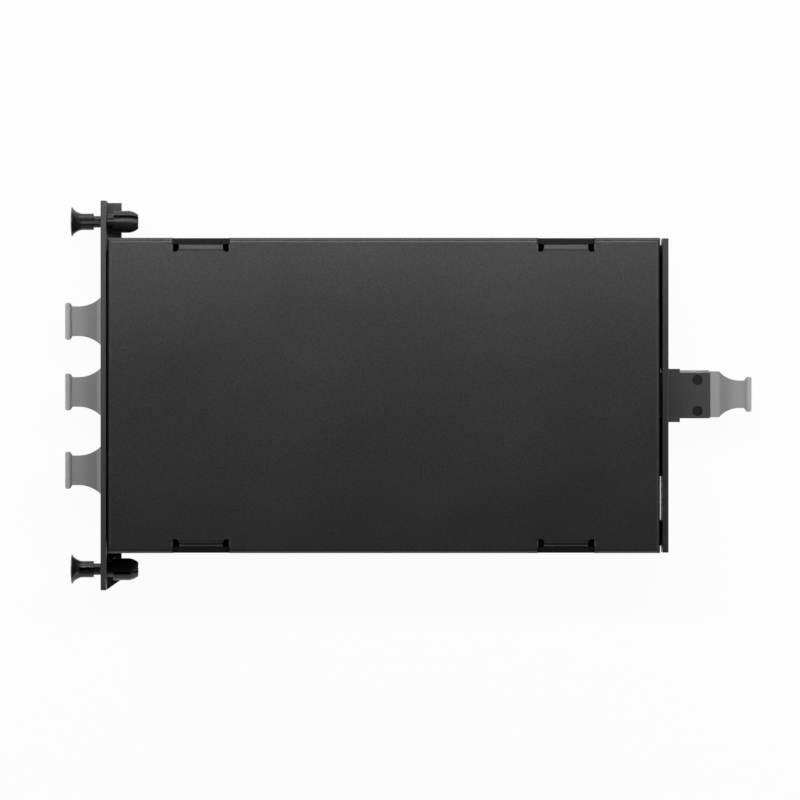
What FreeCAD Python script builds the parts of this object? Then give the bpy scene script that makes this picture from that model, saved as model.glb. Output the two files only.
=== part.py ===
import FreeCAD, Part
import math
import os
import re

import Sketcher

# A fibre conversion cassette: a folded steel box behind a moulded plate with two push-pull rivets,
# three multi-fibre ports in front and one behind, each with its dust cap.
#
# X runs from the front plate to the rear wall, +Y is to the left for someone facing the front
# plate, and +Z is up. The origin is halfway between the two rivets, on the plate's rear face.
# All sizes are millimetres and degrees.

SIZES = [
    # The moulded front plate
    ("ear_end", 6.95, "front plate, its ends past the rivets' axes"),
    ("plate_height", 29.0, "front plate, height"),
    ("plate_sheet", 1.75, "front plate, thickness"),
    ("plate_corner", 1.2, "front plate, radius of its four corners"),
    ("plate_edge", 0.3, "front plate, rounding of its front edge"),
    ("ledge_depth", 4.8, "ear ledge, depth behind the plate"),
    ("ledge_height", 3.0, "ear ledge, thickness"),
    ("ledge_drop", 5.0, "ear ledge, its top below the rivet axis"),
    ("ledge_inset", 0.5, "left ear ledge, its end short of the plate's"),
    ("ledge_slant", 3.4, "right ear ledge, length of its slanted end"),
    ("ledge_gap", 0.3, "ear ledge, gap to the side of the body"),
    ("port_gap", 0.3, "port opening, gap round the dust cap's collar"),
    ("left_port", 25.1, "left port, its place across the plate"),
    ("centre_port", 1.2, "centre port, its place across the plate"),
    ("right_port", -25.3, "right port, its place across the plate"),
    # The push-pull rivets
    ("rivet_offset", 5.6, "rivets, their axes out from the body's sides"),
    ("panel_gap", 2.2, "rivets, room for the enclosure's sheet behind the plate"),
    ("grommet_rim", 4.0, "grommet, radius of the rim sunk in the plate"),
    ("grommet_rim_sheet", 0.8, "grommet, thickness of the rim"),
    ("grommet_neck", 2.62, "grommet, radius of the neck in the plate"),
    ("grommet_fit", 0.05, "grommet, radial gap in the plate"),
    ("jaw_radius", 3.72, "jaws, radius"),
    ("jaw_length", 8.4, "jaws, length from shoulder to nose"),
    ("jaw_nose", 2.4, "jaws, radius at the nose"),
    ("jaw_taper", 3.1, "jaws, length of the tapered nose"),
    ("jaw_round", 6.0, "jaws, rounding of the tapered nose"),
    ("jaw_slit", 1.0, "jaws, width of the slits"),
    ("jaw_ring", 0.25, "jaws, ring left whole behind the shoulder"),
    ("left_jaw_turn", -29.0, "left jaws, turn about their axis"),
    ("right_jaw_turn", 20.0, "right jaws, turn about their axis"),
    ("plunger_travel", 2.5, "plunger, how far it pushes in"),
    ("plunger_stop", 0.2, "plunger, gap left under the knob when pushed in"),
    ("plunger_neck", 2.05, "plunger, radius of the neck"),
    ("plunger_fit", 0.08, "plunger, radial gap in the grommet"),
    ("plunger_tip", 1.4, "plunger, radius of the tip"),
    ("plunger_tip_length", 4.2, "plunger, length of the tip"),
    ("knob_radius", 2.83, "knob, radius of its straight part"),
    ("knob_straight", 3.6, "knob, length of its straight part"),
    ("knob_rim", 4.9, "knob, radius of the rim"),
    ("knob_flare", 3.6, "knob, length of the flare"),
    ("knob_edge", 0.3, "knob, thickness of the rim"),
    ("knob_dome", 0.35, "knob, height of its domed end"),
    ("groove_width", 1.4, "plunger grooves, width"),
    ("groove_bed", 1.45, "plunger grooves, radius of their bed"),
    # The folded steel cover
    ("body_width", 106.3, "body, over the cover's flanges"),
    ("body_height", 28.6, "body, tray bottom to cover top"),
    ("cover_length", 186.4, "cover, front to rear"),
    ("cover_start", 0.4, "cover, gap to the plate"),
    ("cover_sheet", 1.2, "cover, sheet thickness"),
    ("cover_bend", 1.5, "cover, outer bend radius"),
    ("cover_flange", 9.0, "cover, depth of the side flanges"),
    ("cover_front_lip", 3.6, "cover, depth of the front lip"),
    ("cover_rear_lip", 6.0, "cover, depth of the rear lip"),
    ("lip_gap", 0.5, "cover, gap between a short lip and the side flanges"),
    ("notch_inset", 31.65, "cover notch, centre to the nearer end"),
    ("notch_width", 19.0, "cover notch, width"),
    ("notch_depth", 4.3, "cover notch, depth from the outer face"),
    ("notch_slot", 1.7, "cover notch, width of the relief slot beside the tongue"),
    ("notch_slot_dome", 0.5, "cover notch, how far the slots' round ends pass the fold"),
    ("tongue_tip", 14.8, "cover tongue, width at the tip"),
    ("tongue_drop", 2.0, "cover tongue, how far it steps down"),
    ("tongue_reach", 7.0, "cover tongue, its lower end below the cover's top"),
    ("tongue_gap", 0.2, "cover tongue, gap to the tray's tab"),
    # The folded steel tray
    ("tray_sheet", 2.0, "tray, sheet thickness"),
    ("tray_bend", 2.8, "tray, outer bend radius"),
    ("wall_gap", 0.1, "tray walls, gap inside the cover's flanges"),
    ("wall_drop", 0.5, "tray walls, their top below the cover's sheet"),
    ("tab_gap", 0.02, "tray tab, gap to each side of the notch"),
    ("tab_relief", 0.8, "tray tab, slot beside it in the wall"),
    ("tab_inset", 0.1, "tray tab, its face inside the flange's face"),
    ("tab_height", 11.0, "tray tab, height with its offset bend"),
    ("tab_bend", 2.6, "tray tab, height of the offset bend"),
    ("sheet_round", 0.5, "tray, rounding of the sheared outer edges"),
    ("rear_gap", 0.85, "rear wall, gap behind the cover"),
    ("rear_wall_inset", 0.2, "rear wall, its ends in from the body's sides"),
    ("corner_relief", 2.1, "rear wall, relief slot at each lower corner"),
    ("floor_slot_start", 27.4, "floor slot, distance from the middle"),
    ("floor_slot_length", 14.8, "floor slot, length"),
    ("floor_slot_width", 2.1, "floor slot, width"),
    ("floor_slot_inset", 0.05, "floor slot, distance from the rear wall"),
    ("front_wing", 9.5, "tray front wing, width with its bend"),
    ("wing_lift", 3.2, "tray front wing, its lower end above the tray bottom"),
    # The screws that hold the plate
    ("screw_inset", 6.85, "plate screws, their axes in from the body's sides"),
    ("screw_rise", 12.0, "plate screws, centre to centre in height"),
    ("screw_radius", 1.25, "plate screws, shank radius"),
    ("screw_fit", 0.1, "plate screws, radial gap in the plate"),
    ("screw_head", 2.4, "plate screws, head radius"),
    ("screw_tail", 1.0, "plate screws, length past the tray's wing"),
    ("boss_radius", 2.8, "plate bosses, radius"),
    # The multi-fibre adapters
    ("adapter_width", 15.4, "adapter, width"),
    ("adapter_height", 10.5, "adapter, height"),
    ("adapter_length", 35.0, "adapter, length"),
    ("adapter_nose", 10.3, "adapter, mouth to flange"),
    ("flange_width", 18.0, "adapter flange, width"),
    ("flange_height", 12.6, "adapter flange, height"),
    ("flange_sheet", 4.0, "adapter flange, thickness"),
    ("socket_width", 12.6, "adapter socket, width"),
    ("socket_height", 7.9, "adapter socket, height"),
    ("key_width", 3.0, "adapter key slot, width"),
    ("key_depth", 0.7, "adapter key slot, depth"),
    ("bulkhead_start", 16.5, "adapter bulkhead, distance from the mouth"),
    ("bulkhead_sheet", 1.5, "adapter bulkhead, thickness"),
    ("ferrule_window_width", 7.4, "adapter bulkhead window, width"),
    ("ferrule_window_height", 3.6, "adapter bulkhead window, height"),
    ("mark_radius", 1.7, "adapter moulding marks, radius"),
    ("mark_spacing", 10.5, "adapter moulding marks, centre to centre"),
    ("mark_inset", 4.3, "adapter moulding marks, distance from the mouth"),
    ("mark_depth", 0.4, "adapter moulding marks, depth"),
    ("mouth_recess", 1.75, "front adapters, mouth behind the plate's front face"),
    ("window_gap", 0.2, "adapter windows, gap round the adapter"),
    ("clip_sheet", 0.8, "adapter clip, thickness"),
    ("clip_height", 6.0, "adapter clip, height"),
    ("clip_inset", 0.3, "rear adapter's clip, its end behind the mouth"),
    ("clip_barb", 1.5, "adapter clip, how far the barb stands out"),
    ("clip_barb_length", 5.0, "adapter clip, length of the barb"),
    ("clip_gap", 0.2, "adapter clip, gap in its slots"),
    ("bracket_sheet", 1.2, "adapter bracket, sheet thickness"),
    ("bracket_bend", 2.0, "adapter bracket, outer bend radius"),
    ("bracket_inset", 7.85, "adapter bracket, its ends in from the tray's walls"),
    ("bracket_rise", 8.5, "adapter bracket, its top above the port axis"),
    ("bracket_foot", 12.0, "adapter bracket, length of the foot"),
    ("bracket_rivet_spacing", 51.0, "bracket rivets, centre to centre"),
    ("bracket_rivet_inset", 7.0, "bracket rivets, distance behind the bracket's face"),
    ("bracket_rivet_radius", 1.6, "bracket rivets, shank radius"),
    ("bracket_rivet_head", 3.0, "bracket rivets, head radius"),
    ("bracket_rivet_dome", 0.9, "bracket rivets, head height"),
    ("rivet_fit", 0.03, "bracket rivets, radial gap"),
    # The dust caps
    ("cap_seat", 0.05, "dust cap, gap between its collar and the adapter"),
    ("cap_length", 14.0, "dust cap, length outside the adapter"),
    ("collar_height", 10.1, "dust cap collar, height"),
    ("neck_height", 6.4, "dust cap neck, height"),
    ("grip_height", 8.6, "dust cap grip rim, height"),
    ("grip_sheet", 1.5, "dust cap grip rim, thickness at its edge"),
    ("grip_slope", 0.8, "dust cap grip rim, length of the slope down to the neck"),
    ("grip_round", 0.7, "dust cap grip rim, rounding of its edges"),
    ("front_collar_width", 16.0, "front dust caps, width of the collar"),
    ("front_collar_length", 2.0, "front dust caps, length of the collar"),
    ("front_flare_length", 7.5, "front dust caps, length of the flare"),
    ("front_neck_width", 10.0, "front dust caps, width of the neck"),
    ("front_grip_width", 12.5, "front dust caps, width of the grip rim"),
    ("rear_collar_width", 15.5, "rear dust cap, width of the collar"),
    ("rear_collar_length", 3.0, "rear dust cap, length of the collar"),
    ("rear_flare_length", 6.8, "rear dust cap, length of the flare"),
    ("rear_neck_width", 9.3, "rear dust cap, width of the neck"),
    ("rear_grip_width", 11.8, "rear dust cap, width of the grip rim"),
    ("rear_cap_offset", 0.4, "rear dust cap, how far it sits to one side in its socket"),
    ("stopper_length", 8.0, "dust cap stopper, length in the socket"),
    ("stopper_gap", 0.45, "dust cap stopper, gap to the socket"),
    ("stopper_wall", 1.1, "dust cap stopper, wall thickness"),
    # The plugs and cables inside
    ("plug_gap", 0.15, "inner plug, gap in the socket"),
    ("plug_stop", 0.4, "inner plug, gap to the bulkhead"),
    ("ferrule_width", 6.4, "ferrule, width"),
    ("ferrule_height", 2.5, "ferrule, height"),
    ("ferrule_reach", 0.9, "ferrule, how far it passes the bulkhead"),
    ("sleeve_length", 9.0, "inner plug, length of the sliding sleeve"),
    ("sleeve_height", 9.0, "inner plug, height of the sliding sleeve"),
    ("sleeve_gap", 0.4, "inner plug, gap between adapter and sleeve"),
    ("boot_length", 15.0, "boot, length"),
    ("boot_start", 3.5, "boot, radius at the plug"),
    ("boot_end", 2.2, "boot, radius at the cable"),
    ("leg_radius", 1.0, "fibre legs, radius"),
    ("leg_run", 17.0, "fibre legs, straight run at each end"),
    ("leg_pitch", 6.0, "fibre legs, centre to centre at the block"),
    ("trunk_radius", 1.5, "trunk cable, radius"),
    ("block_start", 108.0, "breakout block, distance behind the plate"),
    ("block_length", 22.0, "breakout block, length"),
    ("block_width", 20.0, "breakout block, width"),
    ("block_rise", 5.0, "breakout block, its top above the port axis"),
    ("block_round", 1.5, "breakout block, rounding of its upright edges"),
    ("block_grip", 4.0, "breakout block, length of cable held"),
    ("cable_fit", 0.05, "cables, radial gap in the block and the posts"),
    ("post_radius", 2.6, "cable posts, radius"),
    ("post_inset", 4.5, "cable posts, distance from the boot"),
]

# Places that follow from the sizes, each written once.
PLACES = [
    ("bottom", "-plate_height / 2"),
    ("cover_top", "bottom + body_height"),
    ("cover_under", "cover_top - cover_sheet"),
    ("cover_end", "cover_start + cover_length"),
    ("half_body", "body_width / 2"),
    ("rivet_side", "half_body + rivet_offset"),
    ("half_plate", "rivet_side + ear_end"),
    ("screw_side", "half_body - screw_inset"),
    ("wall_outside", "half_body - cover_sheet - wall_gap"),
    ("wall_inside", "wall_outside - tray_sheet"),
    ("half_bracket", "wall_inside - bracket_inset"),
    ("wall_top", "cover_under - wall_drop"),
    ("floor_top", "bottom + tray_sheet"),
    ("wall_end", "cover_end - cover_sheet - wall_gap"),
    ("rear_inside", "cover_end + rear_gap"),
    ("rear_outside", "rear_inside + tray_sheet"),
    ("wing_front", "cover_start + cover_sheet + wall_gap"),
    ("wing_back", "wing_front + tray_sheet"),
    ("wall_start", "wing_front + tray_bend"),
    ("rear_wall_side", "half_body - rear_wall_inset"),
    ("relief_side", "half_body - corner_relief"),
    ("relief_top", "bottom + tray_bend + 0.3"),
    ("tab_outside", "half_body - tab_inset"),
    ("tab_inside", "tab_outside - tray_sheet"),
    ("tab_foot", "wall_top - tab_height"),
    ("tab_length", "notch_width - 2 * tab_gap"),
    ("tongue_root", "notch_width - 2 * notch_slot"),
    ("front_notch", "cover_start + notch_inset"),
    ("rear_notch", "cover_end - notch_inset"),
    ("notch_bed", "half_body - notch_depth"),
    ("tongue_face", "tab_inside - tongue_gap"),
    ("flange_back", "adapter_nose + flange_sheet"),
    ("front_mouth", "mouth_recess - plate_sheet"),
    ("rear_mouth", "rear_outside + flange_back"),
    ("bracket_front", "front_mouth + flange_back"),
    ("half_adapter", "adapter_width / 2"),
    ("bulkhead_end", "bulkhead_start + bulkhead_sheet"),
    ("sleeve_start", "adapter_length + sleeve_gap"),
    ("sleeve_end", "sleeve_start + sleeve_length"),
    ("boot_tip", "sleeve_end + boot_length"),
    ("leg_start", "front_mouth + boot_tip"),
    ("block_end", "block_start + block_length"),
    ("opening_width", "front_collar_width + 2 * port_gap"),
    ("opening_height", "adapter_height + 2 * port_gap"),
    ("jaw_start", "panel_gap"),
    ("jaw_end", "jaw_start + jaw_length"),
    ("knob_step", "-plate_sheet - plunger_travel - plunger_stop"),
    ("bore_end", "jaw_end - jaw_taper - 0.8"),
    ("plunger_shoulder", "bore_end - plunger_travel - 0.4"),
    ("screw_end", "wing_back + screw_tail"),
    ("screw_sink", "screw_head - screw_radius"),
]

PORTS = {"left": "left_port", "centre": "centre_port", "right": "right_port"}
HALF_TURN = 180

doc = FreeCAD.newDocument("fibre_cassette")
sizes = doc.addObject("Spreadsheet::Sheet", "sizes")
places = doc.addObject("Spreadsheet::Sheet", "places")


def fill_sheets():
    """Write the sizes as plain numbers and the places as formulas, each under its own alias."""
    for row, (alias, size, meaning) in enumerate(SIZES, start=1):
        sizes.set(f"A{row}", meaning)
        sizes.set(f"B{row}", str(size))
        sizes.setAlias(f"B{row}", alias)
    doc.recompute()
    for row, (alias, formula) in enumerate(PLACES, start=1):
        places.set(f"A{row}", alias.replace("_", " "))
        places.set(f"B{row}", "=" + in_sheets(formula, own="places"))
        places.setAlias(f"B{row}", alias)
    doc.recompute()


def in_sheets(text, own=None):
    """Put the sheet's name in front of each alias of an expression."""
    homes = {alias: "sizes" for alias, _, _ in SIZES}
    homes.update({alias: "places" for alias, _ in PLACES})

    def with_home(word):
        home = homes.get(word.group())
        return word.group() if home in (None, own) else f"{home}.{word.group()}"

    return re.sub(r"[a-z_]+", with_home, text)


def number(text):
    """The present value of an expression."""
    return float(sizes.evalExpression(in_sheets(text)))


def bind(thing, **expressions):
    """Tie properties of an object to expressions."""
    for name, text in expressions.items():
        thing.setExpression(name, in_sheets(text))


def put(thing, x="0", y="0", z="0", turn=0, tilt="0"):
    """Place an object: a turn about Z in degrees, or a tilt about X, and bound coordinates."""
    axis = FreeCAD.Vector(0, 0, 1) if turn else FreeCAD.Vector(1, 0, 0)
    angle = turn or number(tilt)
    thing.Placement = FreeCAD.Placement(FreeCAD.Vector(), FreeCAD.Rotation(axis, angle))
    for direction, text in zip("xyz", (x, y, z)):
        thing.setExpression(f".Placement.Base.{direction}", in_sheets(text))
    if not turn and tilt != "0":
        thing.setExpression(".Placement.Rotation.Angle", in_sheets(tilt))


# Sketches and PartDesign features


def sketch_on(body, name, plane, offset="0"):
    """A sketch on one of the body's own planes: XY, XZ or YZ, moved along that plane's normal."""
    support = next(f for f in body.Origin.OriginFeatures if f.Role == f"{plane}_Plane")
    sketch = body.newObject("Sketcher::SketchObject", name)
    sketch.AttachmentSupport = [(support, "")]
    sketch.MapMode = "FlatFace"
    sketch.setExpression("AttachmentOffset.Base.z", in_sheets(offset))
    return sketch


def arc_through(start, end, radius):
    """The short arc from start to end: its centre lies left of the way for a positive radius."""
    half = (end - start) * 0.5
    rise = math.sqrt(max(radius * radius - half.Length * half.Length, 0.0))
    left = FreeCAD.Vector(-half.y, half.x, 0).normalize()
    side = 1 if radius > 0 else -1
    middle = start + half + left * side * (rise - abs(radius))
    return Part.Arc(start, middle, end)


def outline(sketch, corners):
    """Draw a closed outline. A corner is (x, y), or (x, y, radius) where an arc leads on from it."""
    count = len(corners)
    points = [FreeCAD.Vector(number(corner[0]), number(corner[1]), 0) for corner in corners]
    first = sketch.GeometryCount
    ends = []
    for index, corner in enumerate(corners):
        start, end = points[index], points[(index + 1) % count]
        if len(corner) == 2:
            sketch.addGeometry(Part.LineSegment(start, end), False)
            ends.append((1, 2))
        else:
            radius = number(corner[2])
            sketch.addGeometry(arc_through(start, end, radius), False)
            ends.append((1, 2) if radius > 0 else (2, 1))
            row = sketch.addConstraint(Sketcher.Constraint("Radius", first + index, abs(radius)))
            sketch.setExpression(f"Constraints[{row}]", in_sheets(f"abs({corner[2]})"))
    for index, corner in enumerate(corners):
        after = (index + 1) % count
        joint = (first + index, ends[index][1], first + after, ends[after][0])
        sketch.addConstraint(Sketcher.Constraint("Coincident", *joint))
        for kind, text, value in zip(("DistanceX", "DistanceY"), corner, points[index]):
            spot = (-1, 1, first + index, ends[index][0])
            row = sketch.addConstraint(Sketcher.Constraint(kind, *spot, value))
            sketch.setExpression(f"Constraints[{row}]", in_sheets(text))


def rectangle(sketch, left, right, low, high):
    """Draw a rectangle between four bound values."""
    outline(sketch, [(left, low), (right, low), (right, high), (left, high)])


def circle(sketch, x, y, radius):
    """Draw a circle with a bound centre and radius."""
    centre = FreeCAD.Vector(number(x), number(y), 0)
    shape = Part.Circle(centre, FreeCAD.Vector(0, 0, 1), number(radius))
    index = sketch.addGeometry(shape, False)
    for kind, text, value in (("DistanceX", x, centre.x), ("DistanceY", y, centre.y)):
        row = sketch.addConstraint(Sketcher.Constraint(kind, -1, 1, index, 3, value))
        sketch.setExpression(f"Constraints[{row}]", in_sheets(text))
    row = sketch.addConstraint(Sketcher.Constraint("Radius", index, number(radius)))
    sketch.setExpression(f"Constraints[{row}]", in_sheets(radius))


def body_named(name):
    """A new PartDesign body."""
    return doc.addObject("PartDesign::Body", name)


def pad(body, name, sketch, length, symmetric=False):
    """Extrude a sketch along its normal, or to both sides of it."""
    feature = body.newObject("PartDesign::Pad", name)
    feature.Profile = sketch
    feature.Midplane = symmetric
    bind(feature, Length=length)
    return feature


def cut_through(body, name, sketch):
    """Cut a sketch through the whole body, to both sides of its plane."""
    before = volume_of(body)
    feature = body.newObject("PartDesign::Pocket", name)
    feature.Profile = sketch
    feature.Type = "ThroughAll"
    feature.Midplane = True
    check_cut(body, name, before)
    return feature


def cut_deep(body, name, sketch, depth, along_normal=False):
    """Cut a sketch to a bound depth, against its normal or along it."""
    before = volume_of(body)
    feature = body.newObject("PartDesign::Pocket", name)
    feature.Profile = sketch
    feature.Reversed = along_normal
    bind(feature, Length=depth)
    check_cut(body, name, before)
    return feature


def volume_of(body):
    """The body's present volume."""
    doc.recompute()
    return body.Shape.Volume


def check_cut(body, name, before):
    """Stop where a cut took nothing away."""
    if volume_of(body) >= before:
        raise RuntimeError(f"{name} cuts nothing")


def spin(body, name, sketch):
    """Turn a sketch about the X axis of the body."""
    feature = body.newObject("PartDesign::Revolution", name)
    feature.Profile = sketch
    feature.ReferenceAxis = (sketch, ["H_Axis"])
    feature.Angle = 360
    return feature


def round_edges(body, name, radius, wanted):
    """Fillet the edges of the body's tip for which wanted(middle, direction) holds."""
    doc.recompute()
    base = body.Tip
    names = []
    for index, edge in enumerate(base.Shape.Edges, start=1):
        middle = edge.valueAt((edge.FirstParameter + edge.LastParameter) / 2)
        start, end = edge.valueAt(edge.FirstParameter), edge.valueAt(edge.LastParameter)
        if wanted(middle, end - start):
            names.append(f"Edge{index}")
    if not names:
        raise RuntimeError(f"{name} finds no edge")
    feature = body.newObject("PartDesign::Fillet", name)
    feature.Base = (base, names)
    bind(feature, Radius=radius)
    return feature


def near(value, text):
    """Whether a coordinate lies on a bound value."""
    return abs(value - number(text)) < 1e-4


def runs_along(step, axis):
    """Whether an edge runs along one axis, named x, y or z."""
    return abs(getattr(step, axis)) > 0.999 * step.Length > 0


# Part primitives and booleans


def block(name, x, y, z):
    """A box between pairs of bound values."""
    box = doc.addObject("Part::Box", name)
    bind(box, Length=f"({x[1]}) - ({x[0]})", Width=f"({y[1]}) - ({y[0]})", Height=f"({z[1]}) - ({z[0]})")
    put(box, x[0], y[0], z[0])
    return box


def rod(name, axis, x, y, z, radius, length):
    """A cylinder that starts at a point and runs along +X or +Z."""
    cylinder = doc.addObject("Part::Cylinder", name)
    bind(cylinder, Radius=radius, Height=length)
    put(cylinder, x, y, z)
    lay_along(cylinder, axis)
    return cylinder


def cone(name, axis, x, y, z, start, end, length):
    """A cone that starts at a point and runs along +X or +Z."""
    shape = doc.addObject("Part::Cone", name)
    bind(shape, Radius1=start, Radius2=end, Height=length)
    put(shape, x, y, z)
    lay_along(shape, axis)
    return shape


def lay_along(shape, axis):
    """Turn a shape that stands on Z to lie along X."""
    if axis == "x":
        shape.Placement.Rotation = FreeCAD.Rotation(FreeCAD.Vector(0, 1, 0), 90)


def cut(label, base, tools):
    """Take tools away from a base, as a node of its own."""
    node = doc.addObject("Part::Cut", label)
    node.Base = base
    node.Tool = tools[0] if len(tools) == 1 else joined(f"{label}_tools", tools)
    return node


def joined(label, shapes):
    """Several shapes as one object."""
    node = doc.addObject("Part::MultiFuse", label)
    node.Shapes = shapes
    return node


def grouped(label, shapes):
    """Several loose shapes in one node."""
    node = doc.addObject("Part::Compound", label)
    node.Links = shapes
    return node


# The front plate


def make_front_plate():
    """The moulded plate: ports, ears with ledges, bosses, and holes for rivets and screws."""
    body = body_named("plate_moulding")
    face = sketch_on(body, "plate_face", "YZ", "-plate_sheet")
    rectangle(face, "-half_plate", "half_plate", "bottom", "-bottom")
    for port in PORTS.values():
        sides = (f"{port} - opening_width / 2", f"{port} + opening_width / 2")
        rectangle(face, *sides, "-opening_height / 2", "opening_height / 2")
    pad(body, "plate_pad", face, "plate_sheet")

    def corner(middle, step):
        at_end = abs(abs(middle.y) - number("half_plate")) < 1e-4
        return runs_along(step, "x") and at_end

    def front_edge(middle, step):
        inside = abs(middle.z) < number("plate_height / 2") - 1e-4
        in_ports = abs(middle.y) < number("half_plate - 12") and inside
        return near(middle.x, "-plate_sheet") and not in_ports

    round_edges(body, "plate_corners", "plate_corner", corner)
    round_edges(body, "plate_rim", "plate_edge", front_edge)

    ledges = sketch_on(body, "ledge_plan", "XY", "-ledge_drop - ledge_height")
    inner, outer = "half_body + ledge_gap", "half_plate"
    rectangle(ledges, "-0.5", "ledge_depth", inner, f"{outer} - ledge_inset")
    slanted = [
        ("-0.5", f"-({inner})"),
        ("-0.5", f"-({outer})"),
        ("0", f"-({outer})"),
        ("ledge_depth", f"-({outer}) + ledge_slant"),
        ("ledge_depth", f"-({inner})"),
    ]
    outline(ledges, slanted)
    pad(body, "ledges", ledges, "ledge_height")

    bosses = sketch_on(body, "boss_plan", "YZ", "-0.5")
    for side, level in screw_spots():
        circle(bosses, side, level, "boss_radius")
    pad(body, "bosses", bosses, "wing_front + 0.5")

    holes = []
    for index, (side, level) in enumerate(screw_spots(), start=1):
        depth = "wing_front + plate_sheet + 2"
        hole = f"screw_hole_{index}"
        holes.append(rod(hole, "x", "-plate_sheet - 1", side, level, "screw_radius + screw_fit", depth))
        sink = ("screw_head + screw_fit", "screw_radius + screw_fit", "screw_sink")
        holes.append(cone(f"screw_sink_{index}", "x", "-plate_sheet", side, level, *sink))
    for name, side in rivet_sides():
        neck = "grommet_neck + grommet_fit"
        rim = "grommet_rim + grommet_fit"
        start = "-plate_sheet - 1"
        holes.append(rod(f"{name}_rivet_hole", "x", start, side, "0", neck, "plate_sheet + 2"))
        holes.append(rod(f"{name}_rivet_sink", "x", start, side, "0", rim, "grommet_rim_sheet + 1"))
    return cut("front_plate", body, holes)


def screw_spots():
    """The plate screws' places across and in height."""
    return [(f"{a}screw_side", f"{b}screw_rise / 2") for a in ("", "-") for b in ("", "-")]


def rivet_sides():
    """The two rivets' names and places across."""
    return [("left", "rivet_side"), ("right", "-rivet_side")]


def make_grommet(name, side, turn):
    """The rivet's outer half: a rim sunk in the plate, a neck and four split jaws."""
    body = body_named(f"{name}_grommet_moulding")
    half = sketch_on(body, f"{name}_grommet_half", "XY")
    profile = [
        ("-plate_sheet", "plunger_neck + plunger_fit"),
        ("bore_end", "plunger_neck + plunger_fit"),
        ("bore_end", "plunger_tip + 3 * plunger_fit"),
        ("jaw_end", "plunger_tip + 3 * plunger_fit"),
        ("jaw_end", "jaw_nose", "jaw_round"),
        ("jaw_end - jaw_taper", "jaw_radius"),
        ("jaw_start", "jaw_radius"),
        ("jaw_start", "grommet_neck"),
        ("-plate_sheet + grommet_rim_sheet", "grommet_neck"),
        ("-plate_sheet + grommet_rim_sheet", "grommet_rim"),
        ("-plate_sheet", "grommet_rim"),
    ]
    outline(half, profile)
    spin(body, f"{name}_grommet_turned", half)
    long = ("jaw_start + jaw_ring", "jaw_end + 1")
    thin = ("-jaw_slit / 2", "jaw_slit / 2")
    wide = ("-jaw_radius - 1", "jaw_radius + 1")
    slits = [block(f"{name}_flat_slit", long, wide, thin), block(f"{name}_tall_slit", long, thin, wide)]
    put(cut(f"{name}_grommet", body, slits), "0", side, "0", tilt=turn)


def make_plunger(name, side):
    """The rivet's inner half, drawn out: a trumpet knob, a neck with four grooves, and a tip."""
    body = body_named(f"{name}_plunger_moulding")
    half = sketch_on(body, f"{name}_plunger_half", "XY")
    flare = "knob_step - knob_straight"
    rim = f"({flare}) - knob_flare"
    dome = "(knob_rim * knob_rim + knob_dome * knob_dome) / (2 * knob_dome)"
    profile = [
        (f"({rim}) - knob_edge - knob_dome", "0"),
        ("plunger_shoulder + plunger_tip_length", "0"),
        ("plunger_shoulder + plunger_tip_length", "plunger_tip"),
        ("plunger_shoulder", "plunger_tip"),
        ("plunger_shoulder", "plunger_neck"),
        ("knob_step", "plunger_neck"),
        ("knob_step", "knob_radius"),
        (flare, "knob_radius", f"-({flare_radius('knob_flare', 'knob_rim', 'knob_radius')})"),
        (rim, "knob_rim"),
        (f"({rim}) - knob_edge", "knob_rim", dome),
    ]
    outline(half, profile)
    spin(body, f"{name}_plunger_turned", half)
    long = (f"({flare}) - knob_flare / 3", "-plate_sheet + 0.5")
    thin = ("-groove_width / 2", "groove_width / 2")
    grooves = []
    for index, far in enumerate((("groove_bed", "knob_rim"), ("-knob_rim", "-groove_bed")), start=1):
        grooves.append(block(f"{name}_side_groove_{index}", long, far, thin))
        grooves.append(block(f"{name}_level_groove_{index}", long, thin, far))
    put(cut(f"{name}_plunger", body, grooves), "0", side, "0")


# The folded steel box


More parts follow.
